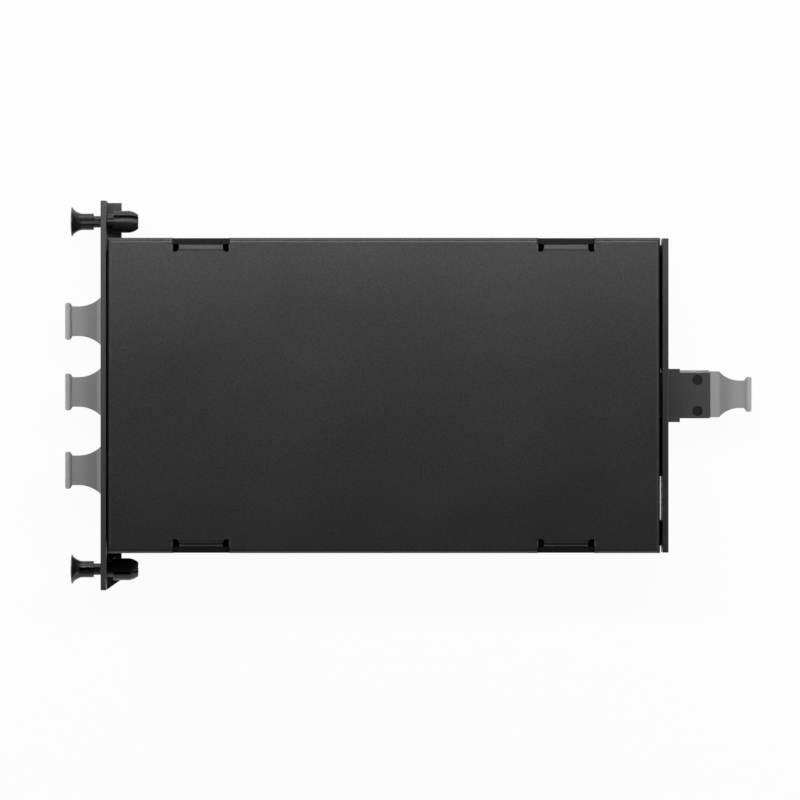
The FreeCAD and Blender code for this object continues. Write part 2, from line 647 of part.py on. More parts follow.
def make_tray():
    """The tray: floor, side walls with four offset tabs, front wings and a rear wall."""
    body = body_named("tray_folded")
    ends = sketch_on(body, "tray_section", "YZ", "wall_start")
    section = [
        ("-wall_outside", "bottom"),
        ("wall_outside", "bottom"),
        ("wall_outside", "wall_top"),
        ("wall_inside", "wall_top"),
        ("wall_inside", "floor_top"),
        ("-wall_inside", "floor_top"),
        ("-wall_inside", "wall_top"),
        ("-wall_outside", "wall_top"),
    ]
    outline(ends, section)
    pad(body, "tray_channel", ends, "wall_end - wall_start")

    def outer_bend(middle, step):
        return runs_along(step, "x") and near(middle.z, "bottom")

    def inner_bend(middle, step):
        return runs_along(step, "x") and near(middle.z, "floor_top")

    round_edges(body, "tray_outer_bends", "tray_bend", outer_bend)
    round_edges(body, "tray_inner_bends", "tray_bend - tray_sheet", inner_bend)

    windows = sketch_on(body, "tab_windows", "XZ")
    for notch in ("front_notch", "rear_notch"):
        half = "(tab_length / 2 + tab_relief)"
        rectangle(windows, f"{notch} - {half}", f"{notch} + {half}", "tab_foot", "wall_top + 1")
    cut_through(body, "tab_window_cut", windows)

    for name in ("front_notch", "rear_notch"):
        tabs = sketch_on(body, f"{name}_tabs", "YZ", f"{name} - tab_length / 2")
        for sign in ("", "-"):
            outline(tabs, tab_section(sign))
        pad(body, f"{name}_tab_pad", tabs, "tab_length")

    front = sketch_on(body, "floor_front", "YZ", "cover_start")
    rectangle(front, "-wall_outside + tray_bend", "wall_outside - tray_bend", "bottom", "floor_top")
    pad(body, "floor_front_pad", front, "wall_start - cover_start")
    rear = sketch_on(body, "floor_rear", "YZ", "wall_end")
    rectangle(rear, "-relief_side", "relief_side", "bottom", "floor_top")
    pad(body, "floor_rear_pad", rear, "rear_inside - wall_end")
    add_rear_wall(body)
    add_front_wings(body)

    slot = sketch_on(body, "floor_slot", "XY")
    sides = ("-floor_slot_start - floor_slot_length", "-floor_slot_start")
    slot_end = "rear_inside - floor_slot_inset"
    rectangle(slot, f"{slot_end} - floor_slot_width", slot_end, *sides)
    cut_through(body, "floor_slot_cut", slot)

    def sheared(middle, step):
        on_tab = abs(abs(middle.y) - number("tab_outside")) < 1e-4 and near(middle.z, "wall_top")
        on_wall = near(middle.x, "rear_outside") and near(middle.z, "cover_top")
        return (on_tab and runs_along(step, "x")) or (on_wall and runs_along(step, "y"))

    round_edges(body, "sheared_edges", "sheet_round", sheared)
    holes = []
    for index, (side, level) in enumerate(screw_spots(), start=1):
        hole = f"wing_hole_{index}"
        length = "tray_sheet + 2"
        holes.append(rod(hole, "x", "wing_front - 1", side, level, "screw_radius + rivet_fit", length))
    for index, side in enumerate(bracket_rivet_sides(), start=1):
        spot = ("bracket_front + bracket_rivet_inset", side, "bottom - 1")
        radius = "bracket_rivet_radius + rivet_fit"
        holes.append(rod(f"floor_rivet_hole_{index}", "z", *spot, radius, "tray_sheet + 2"))
    return cut("tray", body, holes)


def tab_section(sign):
    """The section of one tab, which steps out to the face of the cover's flange."""
    bend_top = "tab_foot + tab_bend"
    return [
        (f"{sign}wall_inside", "tab_foot"),
        (f"{sign}wall_outside", "tab_foot"),
        (f"{sign}tab_outside", bend_top),
        (f"{sign}tab_outside", "wall_top"),
        (f"{sign}tab_inside", "wall_top"),
        (f"{sign}tab_inside", bend_top),
    ]


def add_rear_wall(body):
    """The tray's rear wall, with relief slots at its lower corners and the rear adapter's window."""
    wall = sketch_on(body, "rear_wall_face", "YZ", "rear_inside")
    face = [
        ("-relief_side", "bottom"),
        ("relief_side", "bottom"),
        ("relief_side", "relief_top"),
        ("rear_wall_side", "relief_top"),
        ("rear_wall_side", "cover_top"),
        ("-rear_wall_side", "cover_top"),
        ("-rear_wall_side", "relief_top"),
        ("-relief_side", "relief_top"),
    ]
    outline(wall, face)
    low, high = "-adapter_height / 2 - window_gap", "adapter_height / 2 + window_gap"
    rectangle(wall, "-half_adapter - window_gap", "half_adapter + clip_barb + window_gap", low, high)
    pad(body, "rear_wall_pad", wall, "tray_sheet")

    def outer_bend(middle, step):
        return runs_along(step, "y") and near(middle.x, "rear_outside") and near(middle.z, "bottom")

    def inner_bend(middle, step):
        return runs_along(step, "y") and near(middle.x, "rear_inside") and near(middle.z, "floor_top")

    round_edges(body, "rear_outer_bend", "tray_bend", outer_bend)
    round_edges(body, "rear_inner_bend", "tray_bend - tray_sheet", inner_bend)


def add_front_wings(body):
    """The walls' front ends, folded inwards behind the plate."""
    plan = sketch_on(body, "wing_plan", "XY", "bottom + wing_lift")
    for sign in ("", "-"):
        wing = [
            ("wing_front", f"{sign}(wall_outside - front_wing)"),
            ("wing_front", f"{sign}wall_outside"),
            ("wall_start", f"{sign}wall_outside"),
            ("wall_start", f"{sign}wall_inside"),
            ("wing_back", f"{sign}wall_inside"),
            ("wing_back", f"{sign}(wall_outside - front_wing)"),
        ]
        outline(plan, wing)
    pad(body, "wings", plan, "wall_top - bottom - wing_lift")

    def outer_bend(middle, step):
        on_face = abs(abs(middle.y) - number("wall_outside")) < 1e-4
        return runs_along(step, "z") and near(middle.x, "wing_front") and on_face

    def inner_bend(middle, step):
        on_face = abs(abs(middle.y) - number("wall_inside")) < 1e-4
        return runs_along(step, "z") and near(middle.x, "wing_back") and on_face

    round_edges(body, "wing_outer_bends", "tray_bend", outer_bend)
    round_edges(body, "wing_inner_bends", "tray_bend - tray_sheet", inner_bend)


def make_cover():
    """The cover: a lid with bent flanges, four notches in its long edges and a tongue in each."""
    body = body_named("cover")
    outside = sketch_on(body, "cover_plan", "XY", "cover_top - cover_flange")
    rectangle(outside, "cover_start", "cover_end", "-half_body", "half_body")
    pad(body, "cover_block", outside, "cover_flange")
    inside = sketch_on(body, "cover_inside", "XY", "cover_under")
    ends = ("cover_start + cover_sheet", "cover_end - cover_sheet")
    sides = ("-half_body + cover_sheet", "half_body - cover_sheet")
    rectangle(inside, *ends, *sides)
    cut_deep(body, "cover_hollow", inside, "cover_flange")

    def outer_bend(middle, step):
        return near(middle.z, "cover_top")

    def inner_bend(middle, step):
        return near(middle.z, "cover_under")

    round_edges(body, "cover_outer_bends", "cover_bend", outer_bend)
    round_edges(body, "cover_inner_bends", "cover_bend - cover_sheet", inner_bend)

    lips = sketch_on(body, "lip_trim", "XZ")
    low = "cover_top - cover_flange - 1"
    rectangle(lips, "cover_start - 1", "cover_start + cover_bend", low, "cover_top - cover_front_lip")
    rectangle(lips, "cover_end - cover_bend", "cover_end + 1", low, "cover_top - cover_rear_lip")
    trim = body.newObject("PartDesign::Pocket", "lip_trim_cut")
    trim.Profile = lips
    trim.Midplane = True
    bind(trim, Length="2 * (half_body - cover_sheet - lip_gap)")

    notches = sketch_on(body, "notch_plan", "XY")
    for notch in ("front_notch", "rear_notch"):
        outline(notches, notch_outline(notch, ""))
        outline(notches, notch_outline(notch, "-"))
    cut_through(body, "notch_cut", notches)
    for notch in ("front_notch", "rear_notch"):
        for side, sign in (("left", ""), ("right", "-")):
            add_tongue(body, f"{side}_{notch}", notch, sign)


def notch_outline(notch, sign):
    """A notch seen from above: its bed, with a slot that ends round on each side of the tongue."""
    near_end, far_end = f"{notch} - notch_width / 2", f"{notch} + notch_width / 2"
    half_slot = "notch_slot / 2"
    radius = flare_radius(half_slot, "notch_slot_dome", "0")
    bulge = radius if not sign else f"-({radius})"
    bed, outside = f"{sign}notch_bed", f"{sign}(half_body + 1)"
    return [
        (near_end, outside),
        (near_end, bed, bulge),
        (f"{near_end} + notch_slot", bed),
        (f"{far_end} - notch_slot", bed, bulge),
        (far_end, bed),
        (far_end, outside),
    ]


def add_tongue(body, name, notch, sign):
    """One tongue: it steps down and narrows from the notch's bed, then hangs inside the tab."""
    root = "notch_bed - 0.3"
    tip = "tongue_face - cover_sheet"
    stations = [(root, "tongue_root", "cover_top"), (tip, "tongue_tip", "cover_top - tongue_drop")]
    sections = []
    for index, (station, width, top) in enumerate(stations):
        offset = f"-({station})" if not sign else station
        section = sketch_on(body, f"{name}_section_{index}", "XZ", offset)
        ends = (f"{notch} - {width} / 2", f"{notch} + {width} / 2")
        rectangle(section, *ends, f"{top} - cover_sheet", top)
        sections.append(section)
    slope = body.newObject("PartDesign::AdditiveLoft", f"{name}_slope")
    slope.Profile = sections[0]
    slope.Sections = sections[1:]
    slope.Ruled = True
    leg = sketch_on(body, f"{name}_leg", "XY", "cover_top - tongue_reach")
    ends = (f"{notch} - tongue_tip / 2", f"{notch} + tongue_tip / 2")
    sides = (f"{sign}({tip})", f"{sign}tongue_face")
    rectangle(leg, *ends, *(sides if not sign else sides[::-1]))
    pad(body, f"{name}_leg_pad", leg, "tongue_reach - tongue_drop")


# The adapters and what holds them


def make_adapter(label, x, y, turn):
    """A multi-fibre adapter, built from its mouth inwards: body, flange, socket and bulkhead."""
    body = body_named(f"{label}_moulding")
    shell = sketch_on(body, f"{label}_section", "YZ")
    rectangle(shell, "-half_adapter", "half_adapter", "-adapter_height / 2", "adapter_height / 2")
    pad(body, f"{label}_shell", shell, "adapter_length")
    flange = sketch_on(body, f"{label}_flange_face", "YZ", "adapter_nose")
    sides = ("-flange_width / 2", "flange_width / 2")
    rectangle(flange, *sides, "-flange_height / 2", "flange_height / 2")
    pad(body, f"{label}_flange", flange, "flange_sheet")

    marks = sketch_on(body, f"{label}_mark_plan", "XY", "adapter_height / 2 - mark_depth")
    for sign in ("", "-"):
        circle(marks, "mark_inset", f"{sign}mark_spacing / 2", "mark_radius")
    cut_deep(body, f"{label}_marks", marks, "2 * mark_depth", along_normal=True)

    def mouth(middle, _):
        return near(middle.x, "0")

    round_edges(body, f"{label}_mouth", "plate_edge", mouth)
    socket = "-socket_width / 2", "socket_width / 2"
    level = "-socket_height / 2", "socket_height / 2"
    window = "-ferrule_window_width / 2", "ferrule_window_width / 2"
    height = "-ferrule_window_height / 2", "ferrule_window_height / 2"
    key = "-key_width / 2", "key_width / 2"
    key_level = "0", "socket_height / 2 + key_depth"
    slot = "-half_adapter - clip_sheet - clip_gap", "-half_adapter"
    slot_level = "-clip_height / 2 - clip_gap", "clip_height / 2 + clip_gap"
    slot_reach = "adapter_nose - 1", "flange_back + 1"
    tools = [
        block(f"{label}_outer_socket", ("-1", "bulkhead_start"), socket, level),
        block(f"{label}_inner_socket", ("bulkhead_end", "adapter_length + 1"), socket, level),
        block(f"{label}_window", ("0", "adapter_length"), window, height),
        block(f"{label}_outer_key", ("-1", "bulkhead_start"), key, key_level),
        block(f"{label}_inner_key", ("bulkhead_end", "adapter_length + 1"), key, key_level),
        block(f"{label}_clip_slot", slot_reach, slot, slot_level),
    ]
    node = cut(label, body, tools)
    put(node, x, y, "0", turn=turn)
    return node


def make_clip(label, x, y, turn, start, wall):
    """The adapter's steel clip: a strip along its side, with a barb behind the wall it snaps into."""
    body = body_named(label)
    plan = sketch_on(body, f"{label}_plan", "XY", "-clip_height / 2")
    behind = f"flange_back + {wall} + clip_gap"
    profile = [
        (start, "-half_adapter"),
        (start, "-half_adapter - clip_sheet"),
        (behind, "-half_adapter - clip_sheet"),
        (behind, "-half_adapter - clip_barb"),
        (f"{behind} + clip_barb_length", "-half_adapter - clip_sheet / 2"),
        (f"{behind} + clip_barb_length", "-half_adapter"),
    ]
    outline(plan, profile)
    pad(body, f"{label}_pad", plan, "clip_height")
    put(body, x, y, "0", turn=turn)


def make_bracket():
    """The folded bracket that carries the three front adapters."""
    body = body_named("adapter_bracket")
    section = sketch_on(body, "bracket_section", "XZ")
    profile = [
        ("bracket_front", "floor_top"),
        ("bracket_front + bracket_foot", "floor_top"),
        ("bracket_front + bracket_foot", "floor_top + bracket_sheet"),
        ("bracket_front + bracket_sheet", "floor_top + bracket_sheet"),
        ("bracket_front + bracket_sheet", "bracket_rise"),
        ("bracket_front", "bracket_rise"),
    ]
    outline(section, profile)
    pad(body, "bracket_pad", section, "2 * half_bracket", symmetric=True)

    def outer_bend(middle, step):
        on_corner = near(middle.x, "bracket_front") and near(middle.z, "floor_top")
        return runs_along(step, "y") and on_corner

    def inner_bend(middle, step):
        at_wall = near(middle.x, "bracket_front + bracket_sheet")
        return runs_along(step, "y") and at_wall and near(middle.z, "floor_top + bracket_sheet")

    round_edges(body, "bracket_outer_bend", "bracket_bend", outer_bend)
    round_edges(body, "bracket_inner_bend", "bracket_bend - bracket_sheet", inner_bend)
    windows = sketch_on(body, "bracket_windows", "YZ")
    low, high = "-adapter_height / 2 - window_gap", "adapter_height / 2 + window_gap"
    for port in PORTS.values():
        clip_side = f"{port} - half_adapter - clip_barb - window_gap"
        rectangle(windows, clip_side, f"{port} + half_adapter + window_gap", low, high)
    cut_through(body, "bracket_window_cut", windows)
    holes = sketch_on(body, "bracket_holes", "XY")
    for side in bracket_rivet_sides():
        radius = "bracket_rivet_radius + rivet_fit"
        circle(holes, "bracket_front + bracket_rivet_inset", side, radius)
    cut_through(body, "bracket_hole_cut", holes)


def bracket_rivet_sides():
    """The bracket rivets' places across."""
    return ["bracket_rivet_spacing / 2", "-bracket_rivet_spacing / 2"]


def make_bracket_rivets():
    """The rivets that hold the bracket on the tray's floor."""
    rivets = []
    foot_top = "floor_top + bracket_sheet"
    for index, side in enumerate(bracket_rivet_sides(), start=1):
        x = "bracket_front + bracket_rivet_inset"
        length = f"{foot_top} - bottom"
        shank = rod(f"rivet_shank_{index}", "z", x, side, "bottom", "bracket_rivet_radius", length)
        radii = ("bracket_rivet_head", "bracket_rivet_radius")
        head = cone(f"rivet_head_{index}", "z", x, side, foot_top, *radii, "bracket_rivet_dome")
        rivets.append(joined(f"bracket_rivet_{index}", [shank, head]))
    return grouped("bracket_rivets", rivets)


def make_plate_screws():
    """The countersunk screws that hold the plate on the tray's wings."""
    screws = []
    for index, (side, level) in enumerate(screw_spots(), start=1):
        start = "-plate_sheet"
        length = f"screw_end - ({start})"
        shank = rod(f"screw_shank_{index}", "x", start, side, level, "screw_radius", length)
        radii = ("screw_head", "screw_radius")
        head = cone(f"screw_head_{index}", "x", start, side, level, *radii, "screw_sink")
        screws.append(joined(f"plate_screw_{index}", [shank, head]))
    return grouped("plate_screws", screws)


# The dust caps


def make_dust_cap(label, x, y, turn, kind):
    """A dust cap, built from the adapter's mouth outwards: collar, flare, neck and grip rim."""
    body = body_named(label)
    lengths = (f"{kind}_collar_length", f"{kind}_flare_length")
    widths = (f"{kind}_collar_width / 2", f"{kind}_neck_width / 2", f"{kind}_grip_width / 2")
    plan = sketch_on(body, f"{label}_plan", "XY")
    outline(plan, cap_outline(lengths, widths))
    pad(body, f"{label}_pad", plan, "collar_height", symmetric=True)
    heights = ("collar_height / 2", "neck_height / 2", "grip_height / 2")
    side = sketch_on(body, f"{label}_side", "XZ")
    for sign in ("", "-"):
        outline(side, cap_waste(sign, lengths, heights))
    cut_through(body, f"{label}_side_cut", side)

    def grip_edge(middle, step):
        at_face = near(middle.x, "-cap_length") or near(middle.x, "-cap_length + grip_sheet")
        on_side = near(abs(middle.y), widths[2]) and runs_along(step, "z")
        on_top = near(abs(middle.z), heights[2]) and runs_along(step, "y")
        return at_face and (on_side or on_top)

    round_edges(body, f"{label}_grip", "grip_round", grip_edge)
    stopper = sketch_on(body, f"{label}_stopper_section", "YZ", "-cap_seat")
    half_width, half_height = "(socket_width / 2 - stopper_gap)", "(socket_height / 2 - stopper_gap)"
    rectangle(stopper, f"-{half_width}", half_width, f"-{half_height}", half_height)
    inner_width, inner_height = f"({half_width} - stopper_wall)", f"({half_height} - stopper_wall)"
    rectangle(stopper, f"-{inner_width}", inner_width, f"-{inner_height}", inner_height)
    pad(body, f"{label}_stopper", stopper, "stopper_length")
    put(body, x, y, "0", turn=turn)


def flare_radius(length, outer, inner):
    """The radius of a flare that runs smoothly off a straight part and ends farther out."""
    rise = f"({outer} - {inner})"
    return f"({length} * {length} + {rise} * {rise}) / (2 * {rise})"


def cap_half(sign, lengths, radii):
    """Half of a cap's outline, on one side of its axis, from the collar to the grip rim."""
    (collar_length, flare_length), (collar, neck, grip) = lengths, radii
    radius = flare_radius(flare_length, collar, neck)
    grip_start = "-cap_length + grip_sheet"
    return [
        (f"-{collar_length}", f"{sign}({collar})", radius),
        (f"-{collar_length} - {flare_length}", f"{sign}({neck})"),
        (f"{grip_start} + grip_slope", f"{sign}({neck})"),
        (grip_start, f"{sign}({grip})"),
        ("-cap_length", f"{sign}({grip})"),
    ]


def cap_outline(lengths, widths):
    """The cap's outline from above."""
    left = cap_half("", lengths, widths)
    right = cap_half("-", lengths, widths)[::-1]
    collar = widths[0]
    (start_x, start_y, radius), flare_end = left[0], right[3]
    left[0] = (start_x, start_y, f"-({radius})")
    right[3] = (*flare_end, f"-({radius})")
    right[4] = right[4][:2]
    return [("-cap_seat", f"-({collar})"), ("-cap_seat", collar), *left, *right]


def cap_waste(sign, lengths, heights):
    """What a side view cuts off above the cap, or below it where sign is a minus."""
    half = cap_half(sign, lengths, heights)
    start_x, start_y, radius = half[0]
    outside = f"{sign}({heights[0]} + 1)"
    bulge = f"-({radius})" if not sign else radius
    grip_end = ("-cap_length - 1", half[-1][1])
    return [(start_x, start_y, bulge), *half[1:-1], grip_end, ("-cap_length - 1", outside), (start_x, outside)]


# The plugs and cables inside


def make_plug(label, x, y, turn):
    """The plug on the adapter's inner side: ferrule, nose and sliding sleeve."""
    half_nose = "(socket_width / 2 - plug_gap)"
    nose_level = "(socket_height / 2 - plug_gap)"
    ferrule = (
        ("bulkhead_start - ferrule_reach", "bulkhead_end + plug_stop"),
        ("-ferrule_width / 2", "ferrule_width / 2"),
        ("-ferrule_height / 2", "ferrule_height / 2"),
    )
    nose = (
        ("bulkhead_end + plug_stop", "sleeve_start"),
        (f"-{half_nose}", half_nose),
        (f"-{nose_level}", nose_level),
    )
    sleeve = (
        ("sleeve_start", "sleeve_end"),
        (f"-{half_nose}", half_nose),
        ("-sleeve_height / 2", "sleeve_height / 2"),
    )
    pieces = [
        block(f"{label}_ferrule", *ferrule),
        block(f"{label}_nose", *nose),
        block(f"{label}_sleeve", *sleeve),
    ]
    put(joined(label, pieces), x, y, "0", turn=turn)


def make_boot(label, x, y, turn):
    """The tapered boot behind a plug."""
    boot = doc.addObject("Part::Cone", label)
    bind(boot, Radius1="boot_start", Radius2="boot_end", Height="boot_length")
    away = "sleeve_end" if not turn else "-sleeve_end"
    put(boot, f"{x} + {away}", y, "0")
    direction = 90 if not turn else -90
    boot.Placement.Rotation = FreeCAD.Rotation(FreeCAD.Vector(0, 1, 0), direction)


def make_leg(label, port, lane):
    """One fibre leg: straight runs joined by arcs, from its boot into the breakout block."""
    start, end = number("leg_start"), number("block_start + block_grip")
    run = number("leg_run")
    side, in_block = number(port), number(lane)
    turns = (start + run, number("block_start") - run)
    route = [(start, side), (turns[0], side), (turns[1], in_block), (end, in_block)]
    leg = doc.addObject("Part::Feature", label)
    leg.Shape = tube([FreeCAD.Vector(x, y, 0) for x, y in route], number("leg_radius"))
    leg.Placement = FreeCAD.Placement()


def tube(points, radius):
    """A round tube along straight runs, each corner an arc as large as its two runs allow."""
    share = 0.45
    edges = []
    start = points[0]
    for before, corner, after in zip(points, points[1:], points[2:]):
        back, on = before - corner, after - corner
        setback = share * min(back.Length, on.Length)
        leave = corner + back.normalize() * setback
        join = corner + on.normalize() * setback
        half_turn = (math.pi - back.getAngle(on)) / 2
        bend = setback / math.tan(half_turn)
        print(f"cable bend: radius {bend:.1f} mm for a cable of {2 * radius:.1f} mm")
        centre_way = (back + on).normalize()
        middle = corner + centre_way * (bend / math.cos(half_turn) - bend)
        edges.append(Part.LineSegment(start, leave).toShape())
        edges.append(Part.Arc(leave, middle, join).toShape())
        start = join
    edges.append(Part.LineSegment(start, points[-1]).toShape())
    path = Part.Wire(edges)
    section = Part.Wire(Part.makeCircle(radius, points[0], points[1] - points[0]))
    swept = path.makePipeShell([section], True, False)
    expected = math.pi * radius * radius * path.Length
    if abs(swept.Volume - expected) > 0.01 * expected:
        raise RuntimeError("a cable's volume is off")
    return swept


def make_trunk():
    """The trunk cable, from the breakout block to the rear boot."""
    start = "block_end - block_grip"
    length = f"rear_mouth - boot_tip - ({start})"
    rod("trunk_cable", "x", start, "0", "0", "trunk_radius", length)


def make_block():
    """The breakout block on the tray's floor, where the trunk divides into three legs."""
    body = body_named("block_moulding")
    plan = sketch_on(body, "block_plan", "XY", "floor_top")
    rectangle(plan, "block_start", "block_end", "-block_width / 2", "block_width / 2")
    pad(body, "block_pad", plan, "block_rise - floor_top")
    round_edges(body, "block_edges", "block_round", lambda middle, step: runs_along(step, "z"))
    holes = []
    for name, lane in leg_lanes().items():
        radius = "leg_radius + cable_fit"
        spot = ("block_start - 1", lane, "0")
        holes.append(rod(f"{name}_lane", "x", *spot, radius, "block_grip + 1"))
    spot = ("block_end - block_grip", "0", "0")
    holes.append(rod("trunk_lane", "x", *spot, "trunk_radius + cable_fit", "block_grip + 1"))
    return cut("breakout_block", body, holes)


def leg_lanes():
    """The legs' places across, in the breakout block."""
    return {"left": "leg_pitch", "centre": "0", "right": "-leg_pitch"}


def make_posts():
    """The posts on the tray's floor that carry the legs behind their boots."""
    posts = []
    for name, port in PORTS.items():
        x = "leg_start + post_inset"
        post = rod(f"{name}_post", "z", x, port, "floor_top", "post_radius", "-floor_top")
        spot = ("leg_start", port, "0")
        groove = rod(f"{name}_groove_tool", "x", *spot, "leg_radius + cable_fit", "2 * post_inset")
        posts.append(cut(f"{name}_cable_post", post, [groove]))
    return grouped("cable_posts", posts)


def build():
    """Make every piece, in the order in which the cassette goes together."""
    make_tray()
    make_cover()
    make_front_plate()
    make_plate_screws()
    make_bracket()
    make_bracket_rivets()
    for name, port in PORTS.items():
        make_adapter(f"{name}_adapter", "front_mouth", port, 0)
        behind_plate = "clip_gap - front_mouth"
        make_clip(f"{name}_adapter_clip", "front_mouth", port, 0, behind_plate, "bracket_sheet")
        make_plug(f"{name}_plug", "front_mouth", port, 0)
        make_boot(f"{name}_boot", "front_mouth", port, 0)
        make_dust_cap(f"{name}_dust_cap", "front_mouth", port, 0, "front")
        make_leg(f"{name}_leg", port, leg_lanes()[name])
    make_adapter("rear_adapter", "rear_mouth", "0", HALF_TURN)
    make_clip("rear_adapter_clip", "rear_mouth", "0", HALF_TURN, "clip_inset", "tray_sheet")
    make_plug("rear_plug", "rear_mouth", "0", HALF_TURN)
    make_boot("rear_boot", "rear_mouth", "0", HALF_TURN)
    make_dust_cap("rear_dust_cap", "rear_mouth", "rear_cap_offset", HALF_TURN, "rear")
    make_trunk()
    make_block()
    make_posts()
    for name, side in rivet_sides():
        make_grommet(name, side, f"{name}_jaw_turn")
        make_plunger(name, side)


NODES = [
    "tray", "cover", "front_plate", "plate_screws", "adapter_bracket", "bracket_rivets",
    "left_adapter", "centre_adapter", "right_adapter", "rear_adapter",
    "left_adapter_clip", "centre_adapter_clip", "right_adapter_clip", "rear_adapter_clip",
    "left_plug", "centre_plug", "right_plug", "rear_plug",
    "left_boot", "centre_boot", "right_boot", "rear_boot",
    "left_leg", "centre_leg", "right_leg", "trunk_cable", "breakout_block", "cable_posts",
    "left_dust_cap", "centre_dust_cap", "right_dust_cap", "rear_dust_cap",
    "left_grommet", "right_grommet", "left_plunger", "right_plunger",
]


def check_and_write():
    """Stop on any failed object, then write one STEP file for each node."""
    doc.recompute()
    for thing in doc.Objects:
        if "Invalid" in thing.State or "Error" in thing.State:
            raise RuntimeError(f"{thing.Name} failed: {thing.State}")
    os.makedirs("parts", exist_ok=True)
    for label in NODES:
        shape = doc.getObjectsByLabel(label)[0].Shape
        if shape.isNull() or not shape.isValid() or not shape.Solids:
            raise RuntimeError(f"{label} has no sound shape")
        shape.exportStep(f"parts/{label}.step")
        print(f"{label}: {len(shape.Solids)} solid(s), {shape.Volume:.1f} mm3")


fill_sheets()
build()
check_and_write()
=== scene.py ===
import math

import bpy
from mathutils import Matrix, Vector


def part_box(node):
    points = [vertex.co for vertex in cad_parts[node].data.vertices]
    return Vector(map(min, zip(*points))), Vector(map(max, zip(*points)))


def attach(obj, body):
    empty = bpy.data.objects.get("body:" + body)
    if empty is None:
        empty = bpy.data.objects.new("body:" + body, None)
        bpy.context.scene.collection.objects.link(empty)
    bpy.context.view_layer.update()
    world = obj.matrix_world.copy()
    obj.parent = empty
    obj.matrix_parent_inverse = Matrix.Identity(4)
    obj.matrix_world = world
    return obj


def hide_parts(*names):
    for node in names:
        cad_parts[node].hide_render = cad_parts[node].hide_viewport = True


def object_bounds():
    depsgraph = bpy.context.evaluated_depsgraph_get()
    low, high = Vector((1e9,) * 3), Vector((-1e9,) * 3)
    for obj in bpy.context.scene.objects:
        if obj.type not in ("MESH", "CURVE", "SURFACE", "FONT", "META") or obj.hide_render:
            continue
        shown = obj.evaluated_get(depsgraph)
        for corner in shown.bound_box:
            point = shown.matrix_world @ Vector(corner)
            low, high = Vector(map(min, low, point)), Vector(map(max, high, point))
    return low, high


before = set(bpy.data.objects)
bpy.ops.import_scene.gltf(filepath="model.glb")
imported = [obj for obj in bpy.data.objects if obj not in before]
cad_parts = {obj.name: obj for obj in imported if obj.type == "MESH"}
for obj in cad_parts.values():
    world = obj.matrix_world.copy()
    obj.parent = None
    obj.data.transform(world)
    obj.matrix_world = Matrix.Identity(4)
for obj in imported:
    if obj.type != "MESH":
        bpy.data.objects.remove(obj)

bl_info = {
    "name": "Fibre Cassette Looks",
    "version": (1, 0, 0),
    "blender": (4, 5, 0),
    "location": "3D View > Sidebar > Cassette",
    "description": "Gives the packed fibre cassette its finishes, fine detail, lights and camera",
    "category": "Object",
}

CAD_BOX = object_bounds()
PORTS = ("left", "centre", "right", "rear")
SIDES = ("left", "right")

# Each adapter's two gate marks: the port's place across and the marks' place along, then their
# offset across from the port's axis, radius, soft edge, tone beside the plastic's, and sheen
PORT_MARKS = {
    "left": (0.0251, 0.0043),
    "centre": (0.0012, 0.0043),
    "right": (-0.0253, 0.0043),
    "rear": (0.0, 0.19965),
}
MARK_OFFSET = 0.00525
MARK_RADIUS = 0.0017
MARK_BLUR = 0.00012
MARK_TONE = 0.3
MARK_SHEEN = 0.2

# Halfway between the front and rear ports' mouths, along the part
MOUTH_MIDDLE = 0.101975

# The dust caps' tones from dark (0) to light (1), painted shade on the flares and painted light on
# the rims, at shares of CAP_REACH out from the mouth, what dark and light are beside the plastic's
# colour, and how strongly they show
CAP_REACH = 0.02
CAP_DARK = 0.45
CAP_LIGHT = 1.4
CAP_STRENGTH = 0.8
CAP_PAINTED_SHADE_AND_LIGHT = (
    (0.0, 0.45),
    (0.13, 0.45),
    (0.18, 0.0),
    (0.28, 0.06),
    (0.42, 0.34),
    (0.56, 0.48),
    (0.63, 0.80),
)

# The cover's side notches: halfway between the two pairs, each pair's offset from there,
# half a notch's length, and the height above which the bands show
NOTCH_MIDDLE = 0.0936
NOTCH_OFFSET = 0.06155
NOTCH_HALF = 0.0098
NOTCH_LEVEL = 0.008

# Bands in the notches, as their middle and half width off the axis, their tones beside the paint's
# (painted shade on the tabs, painted light on the ramps), and the share of its sheen that the tabs
# keep
TAB_BAND = (0.05205, 0.00115)
TAB_PAINTED_SHADE = 0.7
TAB_SHEEN = 0.2
RAMP_BAND = (0.05005, 0.00085)
RAMP_PAINTED_LIGHT = 5.0

# Faces that meet at less are smooth, and edges that turn by more are softened
SMOOTH_BELOW = math.radians(32)
SOFTEN_ABOVE = math.radians(40)

# Widths of the softened edges of the smallest metal pieces
CLIP_EDGE = 0.00006
RIVET_EDGE = 0.0001

# The plate screws: radii of head, shank and tip, the head's rim, and the share of the radius
# that is left where the thread begins
SCREW_HEAD = 0.0024
SCREW_SHANK = 0.00125
SCREW_TIP = 0.62 * SCREW_SHANK
SCREW_RIM = 0.0001
THREAD_START = 0.8

# Their cross recess as (place along, radius) from the middle outwards, how deep its foot is cut,
# and the share of the radius between its arms
RECESS = ((0.00045, 0.0002), (0.0004, 0.0004), (0.0, 0.0011))
RECESS_FOOT = 0.0006
RECESS_WAIST = 0.34

# The plugs' ferrule, nose and sleeve: place along from the ferrule's end face, half sizes across
# where the plug's box doesn't give them, rounding of the end faces, and corner radius
FERRULE_HALF = (0.0032, 0.00125)
FERRULE_ROUND = 0.0001
FERRULE_CORNER = 0.0003
NOSE_START = 0.0028
NOSE_HALF = 0.0038
NOSE_ROUND = 0.0003
NOSE_CORNER = 0.0008
SLEEVE_START = 0.0198
SLEEVE_END = 0.0288
SLEEVE_ROUND = 0.0002
SLEEVE_CORNER = 0.0012

# The grip ribs on the plugs' sleeves: number, reach, and one groove as (place along, depth)
PLUG_RIBS = 6
PLUG_RIBBED = (0.0212, 0.0272)
PLUG_GROOVE = ((0.0, 0.0), (0.0002, 0.0003), (0.0005, 0.0003), (0.0007, 0.0))

